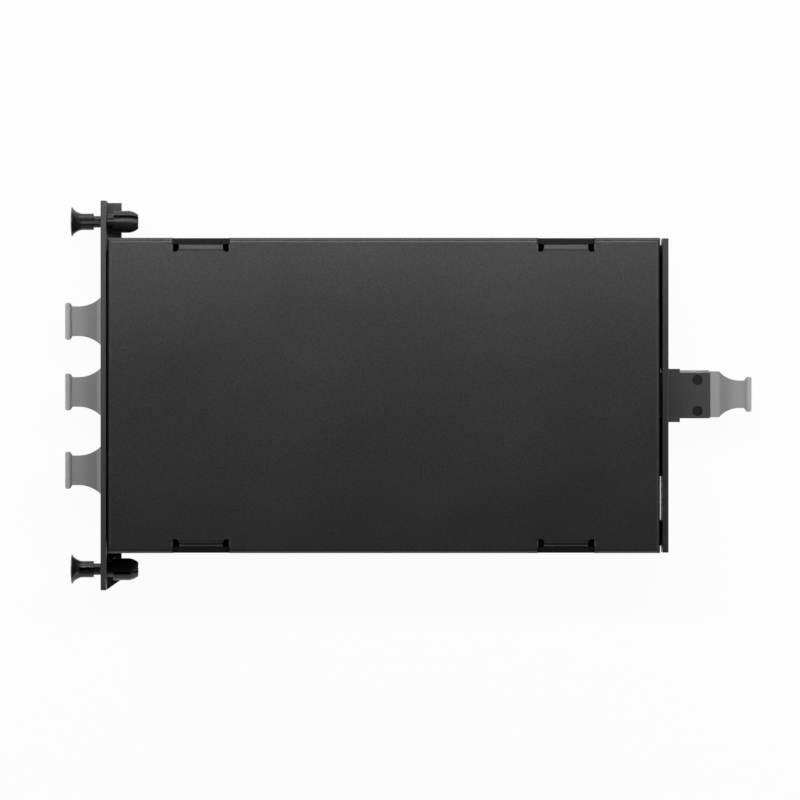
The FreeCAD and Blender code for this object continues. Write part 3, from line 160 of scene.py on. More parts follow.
# The boots: radius, plain length and rounding, each at the wide and the narrow end, and one
# groove as (share of a ring's length, depth)
BOOT_RADII = (0.0035, 0.0022)
BOOT_PLAIN = (0.0025, 0.001)
BOOT_ROUND = (0.0001, 0.0002)
BOOT_GROOVE = ((0.0, 0.0), (0.12, 0.0006), (0.42, 0.0006), (0.54, 0.0))

# The lamps, by their settings' names: place from the camera's axis along X and from the frame's
# zero along Y and Z, and size
LAMPS = {
    "key": ((-0.2, 1.3, 0.36), (1.8, 0.25)),
    "strip": ((0.0, 0.12, 0.22), (1.1, 0.03)),
    "rear": ((0.9, -0.7, 0.5), (0.6, 0.4)),
    "fill": ((-1.0, -0.1, 0.8), (0.35, 1.4)),
}

# Between these rises (0 level, 1 straight up) the surroundings fade from horizon to overhead
FADE = (0.15, 0.6)

# The floor: its gap under the part, so that two faces never coincide, half its side, and finish
FLOOR_GAP = 0.0001
FLOOR_HALF = 6.0
FLOOR_ROUGHNESS = 0.9

# The camera's sensor in millimetres, and how far it sees in metres
SENSOR = 36.0
SIGHT = 20.0


# Node trees


class Tree:
    """The node tree of a material or the world with its shader, and short ways to add to it."""

    def __init__(self, owner, shader="Principled BSDF"):
        self.owner = owner
        owner.use_nodes = True
        self.nodes = owner.node_tree.nodes
        self.links = owner.node_tree.links
        self.shader = self.nodes[shader]

    def add(self, kind, settings=None, **inputs):
        """A new node; settings are its own properties, inputs are values or sockets to link."""
        node = self.nodes.new(kind)
        for name, value in (settings or {}).items():
            setattr(node, name, value)
        for name, value in inputs.items():
            self.feed(node, name.replace("_", " "), value)
        return node

    def feed(self, node, name, value):
        """Set an input, or link a socket to it."""
        socket = node.inputs[int(name)] if name.isdigit() else node.inputs[name]
        if isinstance(value, bpy.types.NodeSocket):
            self.links.new(value, socket)
        else:
            socket.default_value = value

    def stretched(self, x=1.0, y=1.0, z=1.0):
        """The object's own coordinates, scaled along each axis."""
        place = self.add("ShaderNodeTexCoord")
        mapping = self.add("ShaderNodeMapping", Vector=place.outputs["Object"], Scale=(x, y, z))
        return mapping.outputs["Vector"]

    def noise(self, scale, detail, vector=None):
        """A noise of about one lump for each 1/scale metres."""
        where = vector or self.stretched()
        node = self.add("ShaderNodeTexNoise", Vector=where, Scale=scale, Detail=detail)
        return node.outputs["Fac"]

    def between(self, factor, low, high, start=0.3, end=0.7, curve="LINEAR"):
        """A number that runs from low to high as factor runs from start to end."""
        names = ("Value", "From Min", "From Max", "To Min", "To Max")
        node = self.add("ShaderNodeMapRange", {"interpolation_type": curve})
        for name, value in zip(names, (factor, start, end, low, high)):
            self.feed(node, name, value)
        return node.outputs["Result"]

    def blend(self, factor, first, second):
        """A colour that runs from first to second."""
        node = self.add("ShaderNodeMix", {"data_type": "RGBA"})
        self.feed(node, "0", factor)
        self.feed(node, "6", first)
        self.feed(node, "7", second)
        return node.outputs[2]

    def axes(self):
        """The object's own coordinates as three numbers, in metres."""
        return self.add("ShaderNodeSeparateXYZ", Vector=self.stretched()).outputs

    def maths(self, operation, *values):
        """One calculation on sockets or values, by the operation's name."""
        node = self.add("ShaderNodeMath", {"operation": operation})
        for index, value in enumerate(values):
            self.feed(node, str(index), value)
        return node.outputs[0]

    def notch_band(self, middle, half):
        """A number that is 1 at the four side notches, in a band off the axis."""
        x, y, z = self.axes()
        along = self.maths("ABSOLUTE", self.maths("SUBTRACT", x, NOTCH_MIDDLE))
        inside = self.maths("COMPARE", along, NOTCH_OFFSET, NOTCH_HALF)
        across = self.maths("COMPARE", self.maths("ABSOLUTE", y), middle, half)
        high = self.maths("GREATER_THAN", z, NOTCH_LEVEL)
        return self.maths("MULTIPLY", self.maths("MULTIPLY", inside, across), high)

    def spots(self, centres, radius):
        """A number that is 1 within the radius of each (x, y) centre seen from above, in metres."""
        flat = self.stretched(z=0.0)
        total = []
        for x, y in centres:
            away = self.add("ShaderNodeVectorMath", {"operation": "DISTANCE"})
            self.feed(away, "0", flat)
            self.feed(away, "1", (x, y, 0.0))
            edge = (radius - MARK_BLUR, radius + MARK_BLUR)
            total.append((self.between(away.outputs["Value"], 1.0, 0.0, *edge), 1.0))
        return self.sum(*total)

    def sum(self, *parts):
        """Sockets times weights, added up; each part is (socket, weight)."""
        total = 0.0
        for socket, weight in parts:
            total = self.maths("MULTIPLY_ADD", socket, weight, total)
        return total

    def bump(self, height, depth):
        """Raise the surface by height times depth, in metres."""
        node = self.add("ShaderNodeBump", Height=height, Distance=depth)
        self.feed(self.shader, "Normal", node.outputs["Normal"])

    def finish(self, **inputs):
        """Set or link the shader's inputs, and give back the tree's owner."""
        for name, value in inputs.items():
            self.feed(self.shader, name.replace("_", " "), value)
        return self.owner


def fresh(name):
    """The node tree of a new material."""
    return Tree(bpy.data.materials.new(name))


def shade(colour, factor=1.0):
    """A colour made lighter or darker, with full alpha."""
    return tuple(min(part * factor, 1.0) for part in colour[:3]) + (1.0,)


def powder_coat(name, colour, grain, depth):
    """Baked powder paint: a fine orange peel, a sparse speckle and a little unevenness in gloss."""
    tree = fresh(name)
    peel = tree.noise(1 / grain, 2.0)
    sand = tree.noise(4.5 / grain, 1.0)
    cloud = tree.noise(24.0, 3.0)
    speck = tree.between(tree.noise(3.0 / grain, 0.0), 0.0, 1.0, 0.62, 0.74)
    base = tree.blend(tree.between(cloud, 0.0, 1.0), shade(colour, 0.93), shade(colour, 1.07))
    dotted = tree.blend(tree.sum((speck, 0.35)), base, shade(colour, 1.9))
    sheen = tree.between(tree.noise(0.8 / grain, 1.0), 0.43, 0.57)
    tree.bump(tree.sum((peel, 0.7), (sand, 0.3)), depth)
    rough = tree.sum((tree.between(cloud, 0.34, 0.38), 1.0), (sand, 0.06))
    return tree.finish(Base_Color=dotted, Roughness=rough, Specular_IOR_Level=sheen)


def moulded(name, colour, grain, depth, roughness, gloss=0.5, flow=(1.0, 1.0, 1.0)):
    """Moulded plastic: the tool's spark-eroded grain, faint flow marks and an uneven sheen."""
    tree = fresh(name)
    cells = tree.add("ShaderNodeTexVoronoi", Vector=tree.stretched(), Scale=1 / grain)
    pits = cells.outputs["Distance"]
    fine = tree.noise(2.5 / grain, 1.0)
    marks = tree.noise(90.0, 3.0, tree.stretched(*flow))
    base = tree.blend(tree.between(marks, 0.0, 1.0), shade(colour, 0.90), shade(colour, 1.10))
    tree.bump(tree.sum((pits, 0.55), (fine, 0.45)), depth)
    rough = tree.sum((tree.between(marks, roughness - 0.04, roughness + 0.04), 1.0), (fine, 0.05))
    return tree.finish(Base_Color=base, Roughness=rough, Specular_IOR_Level=gloss)


def rub_notches(material, colour):
    """Paint shade on the tabs in the cover's side notches, darker and with less sheen, and paint
    light on the ramps beside them.
    """
    tree = Tree(material)
    base = tree.shader.inputs["Base Color"].links[0].from_socket
    tabs = tree.notch_band(*TAB_BAND)
    ramps = tree.notch_band(*RAMP_BAND)
    base = tree.blend(ramps, base, shade(colour, RAMP_PAINTED_LIGHT))
    tree.feed(tree.shader, "Base Color", tree.blend(tabs, base, shade(colour, TAB_PAINTED_SHADE)))
    sheen = tree.shader.inputs["Specular IOR Level"].links[0].from_socket
    shaded_sheen = tree.maths("MULTIPLY", sheen, tree.between(tabs, 1.0, TAB_SHEEN, 0.0, 1.0))
    tree.feed(tree.shader, "Specular IOR Level", shaded_sheen)


def shade_caps(material, colour):
    """Paint shade on the dust caps' flares by darkening them, and paint light on their rims by
    lightening them.
    """
    tree = Tree(material)
    base = tree.shader.inputs["Base Color"].links[0].from_socket
    offset = tree.maths("ABSOLUTE", tree.maths("SUBTRACT", tree.axes()[0], MOUTH_MIDDLE))
    out = tree.maths("SUBTRACT", offset, MOUTH_MIDDLE)
    ramp = tree.add("ShaderNodeValToRGB", Fac=tree.maths("DIVIDE", out, CAP_REACH))
    # A new ramp has its first two stops already
    for place, value in CAP_PAINTED_SHADE_AND_LIGHT[2:]:
        ramp.color_ramp.elements.new(place)
    for element, (place, value) in zip(ramp.color_ramp.elements, CAP_PAINTED_SHADE_AND_LIGHT):
        element.position = place
        element.color = (value, value, value, 1.0)
    tone = tree.blend(ramp.outputs["Color"], shade(colour, CAP_DARK), shade(colour, CAP_LIGHT))
    tree.feed(tree.shader, "Base Color", tree.blend(CAP_STRENGTH, base, tone))


def smooth_spots(material, centres, radius, colour):
    """Darken a moulding's round gate marks, and dull them beside the skin about them."""
    tree = Tree(material)
    base = tree.shader.inputs["Base Color"].links[0].from_socket
    spots = tree.spots(centres, radius)
    tree.feed(tree.shader, "Base Color", tree.blend(spots, base, shade(colour, MARK_TONE)))
    gloss = tree.shader.inputs["Specular IOR Level"].default_value
    sheen = tree.between(spots, gloss, MARK_SHEEN, 0.0, 1.0)
    tree.feed(tree.shader, "Specular IOR Level", sheen)


def brushed(name, colour, along, roughness):
    """Rolled or brushed steel: fine lines along one axis, with a slight tarnish."""
    tree = fresh(name)
    lines = tree.noise(9000.0, 2.0, tree.stretched(*along))
    tarnish = tree.noise(160.0, 3.0)
    base = tree.blend(tree.between(tarnish, 0.0, 1.0), shade(colour, 0.86), shade(colour, 1.06))
    tree.bump(lines, 0.000004)
    rough = tree.sum((lines, 0.12), (tree.between(tarnish, roughness - 0.05, roughness), 1.0))
    return tree.finish(Base_Color=base, Metallic=1.0, Roughness=rough)


def jacket(name, colour):
    """An extruded cable jacket: faint lines along it and a satin skin."""
    tree = fresh(name)
    lines = tree.noise(2600.0, 1.0, tree.stretched(0.02, 1.0, 1.0))
    skin = tree.noise(1400.0, 2.0)
    base = tree.blend(tree.between(lines, 0.0, 1.0), shade(colour, 0.9), shade(colour, 1.1))
    tree.bump(tree.sum((lines, 0.6), (skin, 0.4)), 0.00002)
    rough = tree.between(skin, 0.42, 0.52)
    return tree.finish(Base_Color=base, Roughness=rough, Specular_IOR_Level=0.45)


# Meshes


def new_piece(name, points, faces, material, body, slot, replaced):
    """A mesh piece in metres that rides on a body, and stands for CAD nodes."""
    mesh = bpy.data.meshes.new(name)
    mesh.from_pydata(points, [], faces)
    mesh.validate()
    piece = bpy.data.objects.new(name, mesh)
    bpy.context.scene.collection.objects.link(piece)
    mesh.materials.append(material)
    mesh.shade_smooth()
    mesh.set_sharp_from_angle(angle=SMOOTH_BELOW)
    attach(piece, body)
    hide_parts(*replaced)


def loft(rings):
    """Skin rings of equal count, and close both ends."""
    count = len(rings[0])
    points = [point for ring in rings for point in ring]
    faces = []
    for row in range(len(rings) - 1):
        low, high = row * count, (row + 1) * count
        for step in range(count):
            after = (step + 1) % count
            faces.append((low + step, low + after, high + after, high + step))
    faces.append(tuple(reversed(range(count))))
    faces.append(tuple(range(len(points) - count, len(points))))
    return points, faces


def round_ring(x, centre, radius, count=40):
    """A circle across X."""
    ring = []
    for step in range(count):
        turn = 2 * math.pi * step / count
        ring.append((x, centre[0] + radius * math.cos(turn), centre[1] + radius * math.sin(turn)))
    return ring


def box_ring(x, centre, half_width, half_height, corner, count=5):
    """A rectangle across X with rounded corners."""
    ring = []
    for quarter, (side, up) in enumerate(((1, 1), (-1, 1), (-1, -1), (1, -1))):
        y = centre[0] + side * (half_width - corner)
        z = centre[1] + up * (half_height - corner)
        for step in range(count):
            turn = math.pi / 2 * (quarter + step / (count - 1))
            ring.append((x, y + corner * math.cos(turn), z + corner * math.sin(turn)))
    return ring


def joined(parts):
    """Several (points, faces) as one."""
    points, faces = [], []
    for part_points, part_faces in parts:
        start = len(points)
        points.extend(part_points)
        faces.extend(tuple(index + start for index in face) for face in part_faces)
    return points, faces


def faced_along_x(shape, near_x, far_x):
    """Turn a shape drawn from 0 along +X so that it runs from near_x towards far_x."""
    points, faces = shape
    if far_x > near_x:
        return [(near_x + x, y, z) for x, y, z in points], faces
    return [(near_x - x, y, z) for x, y, z in points], [tuple(reversed(face)) for face in faces]


def dress(nodes, material, edge=0.0):
    """Give CAD nodes a material, and soften their edges where a width is given."""
    for name in nodes:
        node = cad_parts[name]
        node.data.materials.clear()
        node.data.materials.append(material)
        if edge:
            bevel = node.modifiers.new("soft_edges", "BEVEL")
            bevel.width = edge
            bevel.segments = 2
            bevel.limit_method = "ANGLE"
            bevel.angle_limit = SOFTEN_ABOVE


# Settings


def colour_setting(name, description, default):
    """A colour property."""
    kind = {"subtype": "COLOR", "size": 3, "min": 0.0, "max": 1.0}
    return bpy.props.FloatVectorProperty(
        name=name, description=description, default=default, **kind
    )


def number_setting(name, description, default, **kind):
    """A property that holds one number."""
    return bpy.props.FloatProperty(name=name, description=description, default=default, **kind)


def length_setting(name, description, default):
    """A length property in metres."""
    kind = {"subtype": "DISTANCE", "unit": "LENGTH", "min": 0.0, "precision": 6}
    return number_setting(name, description, default, **kind)


def place_setting(name, description, default):
    """A place along an axis, in metres."""
    return number_setting(name, description, default, unit="LENGTH")


def share_setting(name, description, default):
    """A number from nothing to fully there."""
    return number_setting(name, description, default, subtype="FACTOR", min=0.0, max=1.0)


def power_setting(name, description, default):
    """A lamp's power in watts."""
    return number_setting(name, description, default, unit="POWER", min=0.0)


class CaseSettings(bpy.types.PropertyGroup):
    """The painted steel's finish."""

    colour: colour_setting("Paint", "Colour of the tray, cover and bracket", (0.010, 0.010, 0.0103))
    grain: length_setting("Grain", "Size of the paint's orange peel", 0.0006)
    depth: length_setting("Grain depth", "Depth of the paint's orange peel", 0.00003)
    edge: length_setting("Edge", "Width of the softened sheet edges", 0.00012)


class PlasticSettings(bpy.types.PropertyGroup):
    """The moulded pieces' colours."""

    plate: colour_setting("Plate", "Colour of the front plate", (0.020, 0.020, 0.0205))
    rivets: colour_setting("Rivets", "Colour of the push rivets", (0.008, 0.008, 0.0083))
    adapters: colour_setting("Adapters", "Colour of the port adapters", (0.018, 0.018, 0.0184))
    caps: colour_setting("Dust caps", "Colour of the dust caps", (0.25, 0.25, 0.251))
    grain: length_setting("Grain", "Size of the moulded grain", 0.00022)
    depth: length_setting("Grain depth", "Depth of the moulded grain", 0.00001)
    edge: length_setting("Edge", "Width of the softened moulded edges", 0.00018)


class MetalSettings(bpy.types.PropertyGroup):
    """The bare and plated steel."""

    clips: colour_setting("Clips", "Colour of the adapters' spring clips", (0.72, 0.72, 0.71))
    screws: colour_setting("Screws", "Colour of the plated screws and rivets", (0.09, 0.09, 0.092))
    pitch: length_setting("Thread pitch", "Pitch of the plate screws' thread", 0.00045)
    thread: length_setting("Thread depth", "Depth of the plate screws' thread", 0.00026)


class CablingSettings(bpy.types.PropertyGroup):
    """The plugs and cables inside."""

    jackets: colour_setting("Jackets", "Colour of the fibre legs and the trunk", (0.02, 0.36, 0.40))
    plugs: colour_setting("Plugs", "Colour of the inner plugs", (0.02, 0.30, 0.34))
    boots: colour_setting("Boots", "Colour of the boots behind the plugs", (0.02, 0.02, 0.021))
    block: colour_setting("Block", "Colour of the breakout block and posts", (0.03, 0.03, 0.031))
    ribs: bpy.props.IntProperty(
        name="Boot ribs", description="Rings along each boot", min=3, max=14, default=8
    )


class StageSettings(bpy.types.PropertyGroup):
    """The floor, lights and camera."""

    floor: colour_setting("Floor", "Colour of the floor as light meets it", (0.60, 0.60, 0.60))
    backdrop: colour_setting("Backdrop", "Colour that floor and surroundings show", (1.0, 1.0, 1.0))
    shadow: share_setting("Floor shadow", "How much of the part's shadow shows on the floor", 0.05)
    distance: length_setting("Camera height", "Height of the camera over the rivets' axis", 3.5)
    field: length_setting("Field", "Width of what the camera sees at the rivets' axis", 0.27063)
    middle_x: place_setting("Camera X", "Camera's place along X", 0.09915)
    middle_y: place_setting("Camera Y", "Camera's place along Y", -0.00153)
    key: power_setting("Key light", "Power of the soft box beyond the left side", 9.0)
    strip: power_setting("Strip light", "Power of the narrow lamp over the left edge", 1.8)
    fill: power_setting("Fill light", "Power of the soft box in front", 0.8)
    rear: power_setting("Rear light", "Power of the small soft box behind the right corner", 4.0)
    horizon: share_setting("Horizon", "Strength of the surroundings low down, all round", 1.0)
    overhead: share_setting("Overhead", "Strength of the surroundings high up", 0.02)


GROUPS = {
    "cassette_case": CaseSettings,
    "cassette_plastic": PlasticSettings,
    "cassette_metal": MetalSettings,
    "cassette_cabling": CablingSettings,
    "cassette_stage": StageSettings,
}


# Operators


class CASSETTE_OT_case(bpy.types.Operator):
    """Paint the tray, the cover and the adapter bracket"""

    bl_idname = "cassette.case"
    bl_label = "Case"

    def execute(self, context):
        case = context.scene.cassette_case
        paint = powder_coat("case_paint", case.colour, case.grain, case.depth)
        # Painted shade on the notch tabs and painted light on the ramps beside them
        rub_notches(paint, case.colour)
        dress(("tray", "cover"), paint, case.edge)
        bracket = powder_coat("bracket_paint", shade(case.colour, 1.15), case.grain, case.depth)
        dress(("adapter_bracket",), bracket, case.edge)
        return {"FINISHED"}


class CASSETTE_OT_plate(bpy.types.Operator):
    """Give the front plate its moulded plastic"""

    bl_idname = "cassette.plate"
    bl_label = "Front plate"

    def execute(self, context):
        plastic = context.scene.cassette_plastic
        flow = (1.0, 0.15, 1.0)
        skin = moulded("plate_plastic", plastic.plate, plastic.grain, plastic.depth, 0.5, flow=flow)
        dress(("front_plate",), skin, plastic.edge)
        return {"FINISHED"}


class CASSETTE_OT_push_rivets(bpy.types.Operator):
    """Give the push rivets their nylon"""

    bl_idname = "cassette.push_rivets"
    bl_label = "Push rivets"

    def execute(self, context):
        plastic = context.scene.cassette_plastic
        nylon = moulded("rivet_nylon", plastic.rivets, plastic.grain, plastic.depth / 2, 0.32, 0.42)
        names = [f"{side}_{piece}" for side in SIDES for piece in ("grommet", "plunger")]
        dress(names, nylon, plastic.edge / 2)
        return {"FINISHED"}


class CASSETTE_OT_adapters(bpy.types.Operator):
    """Give the four port adapters their plastic"""

    bl_idname = "cassette.adapters"
    bl_label = "Adapters"

    def execute(self, context):
        plastic = context.scene.cassette_plastic
        colour = plastic.adapters
        for port, (y, mark_x) in PORT_MARKS.items():
            skin = moulded(f"{port}_adapter_plastic", colour, plastic.grain, plastic.depth, 0.5)
            marks = [(mark_x, y + side * MARK_OFFSET) for side in (-1, 1)]
            smooth_spots(skin, marks, MARK_RADIUS, colour)
            dress([f"{port}_adapter"], skin, plastic.edge)
        return {"FINISHED"}


class CASSETTE_OT_clips(bpy.types.Operator):
    """Give the adapters' spring clips their steel"""

    bl_idname = "cassette.clips"
    bl_label = "Adapter clips"

    def execute(self, context):
        steel = brushed("clip_steel", context.scene.cassette_metal.clips, (0.03, 1.0, 1.0), 0.28)
        dress([f"{port}_adapter_clip" for port in PORTS], steel, CLIP_EDGE)
        return {"FINISHED"}


class CASSETTE_OT_dust_caps(bpy.types.Operator):
    """Give the four dust caps their soft grey plastic"""

    bl_idname = "cassette.dust_caps"
    bl_label = "Dust caps"

    def execute(self, context):
        plastic = context.scene.cassette_plastic
        grain = plastic.grain * 1.4
        flow = (0.3, 1.0, 1.0)
        skin = moulded("cap_plastic", plastic.caps, grain, plastic.depth, 0.42, flow=flow)
        # Painted shade on the caps' flares and painted light on their rims
        shade_caps(skin, plastic.caps)
        dress([f"{port}_dust_cap" for port in PORTS], skin, plastic.edge)
        return {"FINISHED"}


class CASSETTE_OT_fasteners(bpy.types.Operator):
    """Cut the plate screws' threads and recesses, and plate the bracket's rivets"""

    bl_idname = "cassette.fasteners"
    bl_label = "Fasteners"

    def execute(self, context):
        metal = context.scene.cassette_metal
        plating = brushed("black_plating", metal.screws, (1.0, 1.0, 1.0), 0.38)
        low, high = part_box("plate_screws")
        sides, rows = ((low[axis] + SCREW_HEAD, high[axis] - SCREW_HEAD) for axis in (1, 2))
        spots = [(y, z) for y in sides for z in rows]
        screws = joined([screw(low[0], high[0], spot, metal.pitch, metal.thread) for spot in spots])
        new_piece("threaded_screws", *screws, plating, "case", "screw_steel", ("plate_screws",))
        dress(("bracket_rivets",), plating, RIVET_EDGE)
        return {"FINISHED"}


def screw(start, end, centre, pitch, depth):
    """A countersunk screw with a cross recess and a rolled thread, along +X."""
    count = 32
    rows_a_turn = 8
    sink = SCREW_HEAD - SCREW_SHANK
    rim = ((0.0, SCREW_HEAD - SCREW_RIM), (SCREW_RIM, SCREW_HEAD))
    rings = [round_ring(start + x, centre, radius, count) for x, radius in (*RECESS, *rim)]
    rings[1] = cross_ring(rings[1], start + RECESS_FOOT, centre)
    rings[2] = cross_ring(rings[2], start, centre)
    rings.append(round_ring(start + sink, centre, SCREW_SHANK, count))
    steps = int((end - start - sink) / pitch * rows_a_turn)
    for row in range(1, steps):
        along = sink + (end - start - sink) * row / steps
        fade = min(1.0, (steps - row) / rows_a_turn)
        ring = []
        for step in range(count):
            turn = 2 * math.pi * step / count
            phase = (along / pitch - step / count) % 1.0
            radius = SCREW_SHANK - depth * abs(2 * phase - 1)
            radius *= THREAD_START + (1 - THREAD_START) * fade
            y = centre[0] + radius * math.cos(turn)
            ring.append((start + along, y, centre[1] + radius * math.sin(turn)))
        rings.append(ring)
    rings.append(round_ring(end, centre, SCREW_TIP, count))
    return loft(rings)


def cross_ring(ring, x, centre):
    """Draw a ring in to a four-armed star at x."""
    star = []
    for step, (_, y, z) in enumerate(ring):
        arm = math.cos(4 * math.pi * step / len(ring)) ** 2
        pull = RECESS_WAIST + (1 - RECESS_WAIST) * arm
        star.append((x, centre[0] + (y - centre[0]) * pull, centre[1] + (z - centre[1]) * pull))
    return star


def lie(port, low, high):
    """How a port's inner piece lies in its box: ends from the port inwards, axis and size."""
    ends = (low[0], high[0]) if port != "rear" else (high[0], low[0])
    middle = ((low[1] + high[1]) / 2, (low[2] + high[2]) / 2)
    return ends, middle, [high[axis] - low[axis] for axis in range(3)]


class CASSETTE_OT_plugs(bpy.types.Operator):
    """Build the inner plugs with their ferrules, noses and ribbed sleeves"""

    bl_idname = "cassette.plugs"
    bl_label = "Inner plugs"

    def execute(self, context):
        cabling = context.scene.cassette_cabling
        plastic = context.scene.cassette_plastic
        skin = moulded("plug_plastic", cabling.plugs, plastic.grain, plastic.depth, 0.42)
        for port in PORTS:
            ends, middle, size = lie(port, *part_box(f"{port}_plug"))
            shape = faced_along_x(plug(middle, size[1], size[2]), *ends)
            replaced = (f"{port}_plug",)
            new_piece(f"{port}_ribbed_plug", *shape, skin, "case", "plug_plastic", replaced)
        return {"FINISHED"}


def plug(centre, width, height):
    """A multi-fibre plug along +X: ferrule, nose and a sleeve with grip ribs."""
    half, sleeve, nose = width / 2, height / 2, NOSE_HALF
    outline = [
        (0.0, *(size - FERRULE_ROUND for size in FERRULE_HALF), FERRULE_CORNER),
        (FERRULE_ROUND, *FERRULE_HALF, FERRULE_CORNER),
        (NOSE_START, *FERRULE_HALF, FERRULE_CORNER),
        (NOSE_START, half - NOSE_ROUND, nose - NOSE_ROUND, NOSE_CORNER),
        (NOSE_START + NOSE_ROUND, half, nose, NOSE_CORNER),
        (SLEEVE_START, half, nose, NOSE_CORNER),
        (SLEEVE_START, half - SLEEVE_ROUND, sleeve - SLEEVE_ROUND, SLEEVE_CORNER),
        (SLEEVE_START + SLEEVE_ROUND, half, sleeve, SLEEVE_CORNER),
    ]
    first, last = PLUG_RIBBED
    for rib in range(PLUG_RIBS):
        start = first + (last - first) * rib / PLUG_RIBS
        for along, sunk in PLUG_GROOVE:
            outline.append((start + along, half - sunk, sleeve - sunk, SLEEVE_CORNER))
    outline.append((SLEEVE_END - SLEEVE_ROUND, half, sleeve, SLEEVE_CORNER))
    half, sleeve = half - SLEEVE_ROUND, sleeve - SLEEVE_ROUND
    outline.append((SLEEVE_END, half, sleeve, SLEEVE_CORNER - SLEEVE_ROUND / 2))
    return loft([box_ring(x, centre, *size) for x, *size in outline])


class CASSETTE_OT_boots(bpy.types.Operator):
    """Build the ringed boots behind the plugs"""

    bl_idname = "cassette.boots"
    bl_label = "Boots"

    def execute(self, context):
        cabling = context.scene.cassette_cabling
        plastic = context.scene.cassette_plastic
        rubber = moulded("boot_rubber", cabling.boots, plastic.grain * 2, plastic.depth, 0.62, 0.35)
        for port in PORTS:
            ends, middle, size = lie(port, *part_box(f"{port}_boot"))
            shape = faced_along_x(boot(middle, size[0], cabling.ribs), *ends)
            replaced = (f"{port}_boot",)
            new_piece(f"{port}_ringed_boot", *shape, rubber, "case", "boot_rubber", replaced)
        return {"FINISHED"}


def boot(centre, length, count):
    """A tapered boot along +X, with flexing grooves between rings."""
    wide, narrow = BOOT_RADII
    outline = [(0.0, wide - BOOT_ROUND[0]), (BOOT_ROUND[0], wide)]
    pitch = (length - sum(BOOT_PLAIN)) / count
    for index in range(count):
        for share, sunk in BOOT_GROOVE:
            along = BOOT_PLAIN[0] + pitch * (index + share)
            outline.append((along, wide + (narrow - wide) * along / length - sunk))
    outline.append((length - BOOT_ROUND[1], narrow))
    outline.append((length, narrow - BOOT_ROUND[1]))
    return loft([round_ring(x, centre, radius) for x, radius in outline])


class CASSETTE_OT_cabling(bpy.types.Operator):
    """Give the fibre legs, the trunk, the breakout block and the posts their finishes"""

    bl_idname = "cassette.cabling"
    bl_label = "Cabling"

    def execute(self, context):
        cabling = context.scene.cassette_cabling
        plastic = context.scene.cassette_plastic
        skin = jacket("cable_jacket", cabling.jackets)
        dress(("left_leg", "centre_leg", "right_leg", "trunk_cable"), skin)
        block = moulded("block_plastic", cabling.block, plastic.grain, plastic.depth, 0.5)
        dress(("breakout_block", "cable_posts"), block, plastic.edge)
        return {"FINISHED"}


class CASSETTE_OT_stage(bpy.types.Operator):
    """Set up the floor, the lights and the camera"""

    bl_idname = "cassette.stage"
    bl_label = "Stage"

    def execute(self, context):
        stage = context.scene.cassette_stage
        scene = context.scene
        scene.view_settings.view_transform = "Standard"
        scene.world = surroundings(stage)
        add_floor(stage, CAD_BOX[0][2] - FLOOR_GAP)
        middle = (stage.middle_x, stage.middle_y)
        for name, ((x, y, z), size) in LAMPS.items():
            place = (middle[0] + x, y, z)
            soft_box(f"{name}_light", place, middle, size, getattr(stage, name))
        camera = bpy.data.cameras.new("camera")
        camera.sensor_width = SENSOR
        camera.lens = SENSOR * stage.distance / stage.field
        camera.clip_end = SIGHT
        holder = bpy.data.objects.new("camera", camera)
        holder.location = (*middle, stage.distance)
        scene.collection.objects.link(holder)
        scene.camera = holder
        return {"FINISHED"}


def seen_or_lit(tree, output, colour, shadow=0.0, mirrored=1.0):
    """Show a plain colour where the surface is seen, and the tree's shader to all other light.

    Shadow is the share of the shader that still shows, so that it keeps shadows. Mirrored is how
    much of the plain colour reflections and glass show, as a number or a socket.
    """
    path = tree.add("ShaderNodeLightPath").outputs
    both = tree.maths("ADD", path["Is Glossy Ray"], path["Is Transmission Ray"])
    seen = tree.maths("MULTIPLY_ADD", both, mirrored, path["Is Camera Ray"])
    share = tree.add("ShaderNodeMath", {"operation": "MULTIPLY", "use_clamp": True})
    tree.feed(share, "0", seen)
    tree.feed(share, "1", 1.0 - shadow)
    glow = tree.add("ShaderNodeEmission", Color=shade(colour))
    mix = tree.add("ShaderNodeMixShader")
    for index, node in enumerate((share, tree.shader, glow)):
        tree.feed(mix, str(index), node.outputs[0])
    tree.feed(tree.nodes[output], "Surface", mix.outputs[0])


def surroundings(stage):
    """A world that is pale low down, dim overhead, and plain where it is seen."""
    tree = Tree(bpy.data.worlds.new("surroundings"), "Background")
    ways = tree.add("ShaderNodeTexCoord").outputs["Generated"]
    rise = tree.add("ShaderNodeSeparateXYZ", Vector=ways).outputs["Z"]
    strength = tree.between(rise, stage.horizon, stage.overhead, *FADE, "SMOOTHSTEP")
    mirrored = tree.between(rise, 1.0, 0.0, *FADE, "SMOOTHSTEP")
    seen_or_lit(tree, "World Output", stage.backdrop, mirrored=mirrored)
    return tree.finish(Color=shade(stage.backdrop), Strength=strength)


def add_floor(stage, level):
    """A wide plain floor just under the part."""
    sides = ((-1, -1), (1, -1), (1, 1), (-1, 1))
    corners = [(x * FLOOR_HALF, y * FLOOR_HALF, level) for x, y in sides]
    mesh = bpy.data.meshes.new("floor")
    mesh.from_pydata(corners, [], [(0, 1, 2, 3)])
    floor = bpy.data.objects.new("floor", mesh)
    bpy.context.scene.collection.objects.link(floor)
    tree = fresh("floor")
    seen_or_lit(tree, "Material Output", stage.backdrop, stage.shadow)
    mesh.materials.append(tree.finish(Base_Color=shade(stage.floor), Roughness=FLOOR_ROUGHNESS))


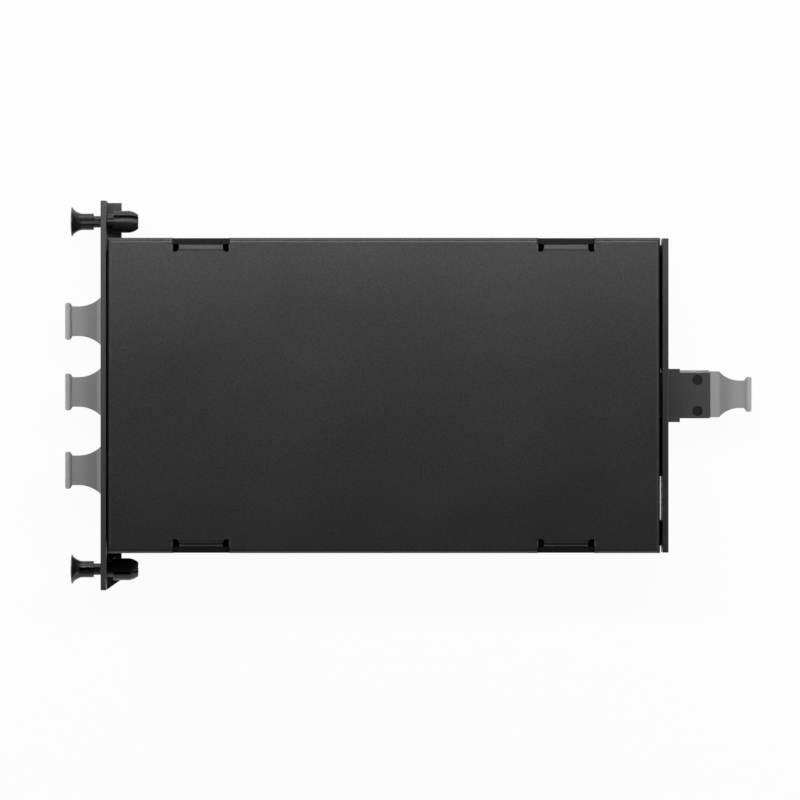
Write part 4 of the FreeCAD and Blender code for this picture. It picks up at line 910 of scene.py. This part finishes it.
def soft_box(name, place, target, size, power):
    """A large area light that faces the part and isn't seen itself."""
    light = bpy.data.lights.new(name, "AREA")
    light.shape = "RECTANGLE"
    light.size, light.size_y = size
    light.energy = power
    holder = bpy.data.objects.new(name, light)
    aim = (target[0] - place[0], target[1] - place[1], -place[2])
    from_above = math.atan2(math.hypot(aim[0], aim[1]), -aim[2])
    holder.rotation_euler = (from_above, 0.0, math.atan2(aim[1], aim[0]) - math.pi / 2)
    holder.location = place
    holder.visible_camera = False
    bpy.context.scene.collection.objects.link(holder)


OPERATORS = (
    CASSETTE_OT_case,
    CASSETTE_OT_plate,
    CASSETTE_OT_push_rivets,
    CASSETTE_OT_adapters,
    CASSETTE_OT_clips,
    CASSETTE_OT_dust_caps,
    CASSETTE_OT_fasteners,
    CASSETTE_OT_plugs,
    CASSETTE_OT_boots,
    CASSETTE_OT_cabling,
    CASSETTE_OT_stage,
)


class CASSETTE_PT_panel(bpy.types.Panel):
    """Lists the cassette's settings and operators"""

    bl_label = "Fibre Cassette"
    bl_idname = "CASSETTE_PT_panel"
    bl_space_type = "VIEW_3D"
    bl_region_type = "UI"
    bl_category = "Cassette"

    def draw(self, context):
        for attribute, group in GROUPS.items():
            column = self.layout.column(align=True)
            column.label(text=group.__doc__)
            for name in group.__annotations__:
                column.prop(getattr(context.scene, attribute), name)
        for operator in OPERATORS:
            self.layout.operator(operator.bl_idname)


def register():
    """Register the settings, the operators and the panel."""
    for attribute, group in GROUPS.items():
        bpy.utils.register_class(group)
        setattr(bpy.types.Scene, attribute, bpy.props.PointerProperty(type=group))
    for operator in OPERATORS:
        bpy.utils.register_class(operator)
    bpy.utils.register_class(CASSETTE_PT_panel)


def unregister():
    """Take out all that register put in."""
    bpy.utils.unregister_class(CASSETTE_PT_panel)
    for operator in reversed(OPERATORS):
        bpy.utils.unregister_class(operator)
    for attribute, group in reversed(GROUPS.items()):
        delattr(bpy.types.Scene, attribute)
        bpy.utils.unregister_class(group)


def main():
    """Register the add-on, and run its operators in order."""
    register()
    for operator in OPERATORS:
        space, name = operator.bl_idname.split(".")
        getattr(getattr(bpy.ops, space), name)()


if __name__ == "__main__":
    main()
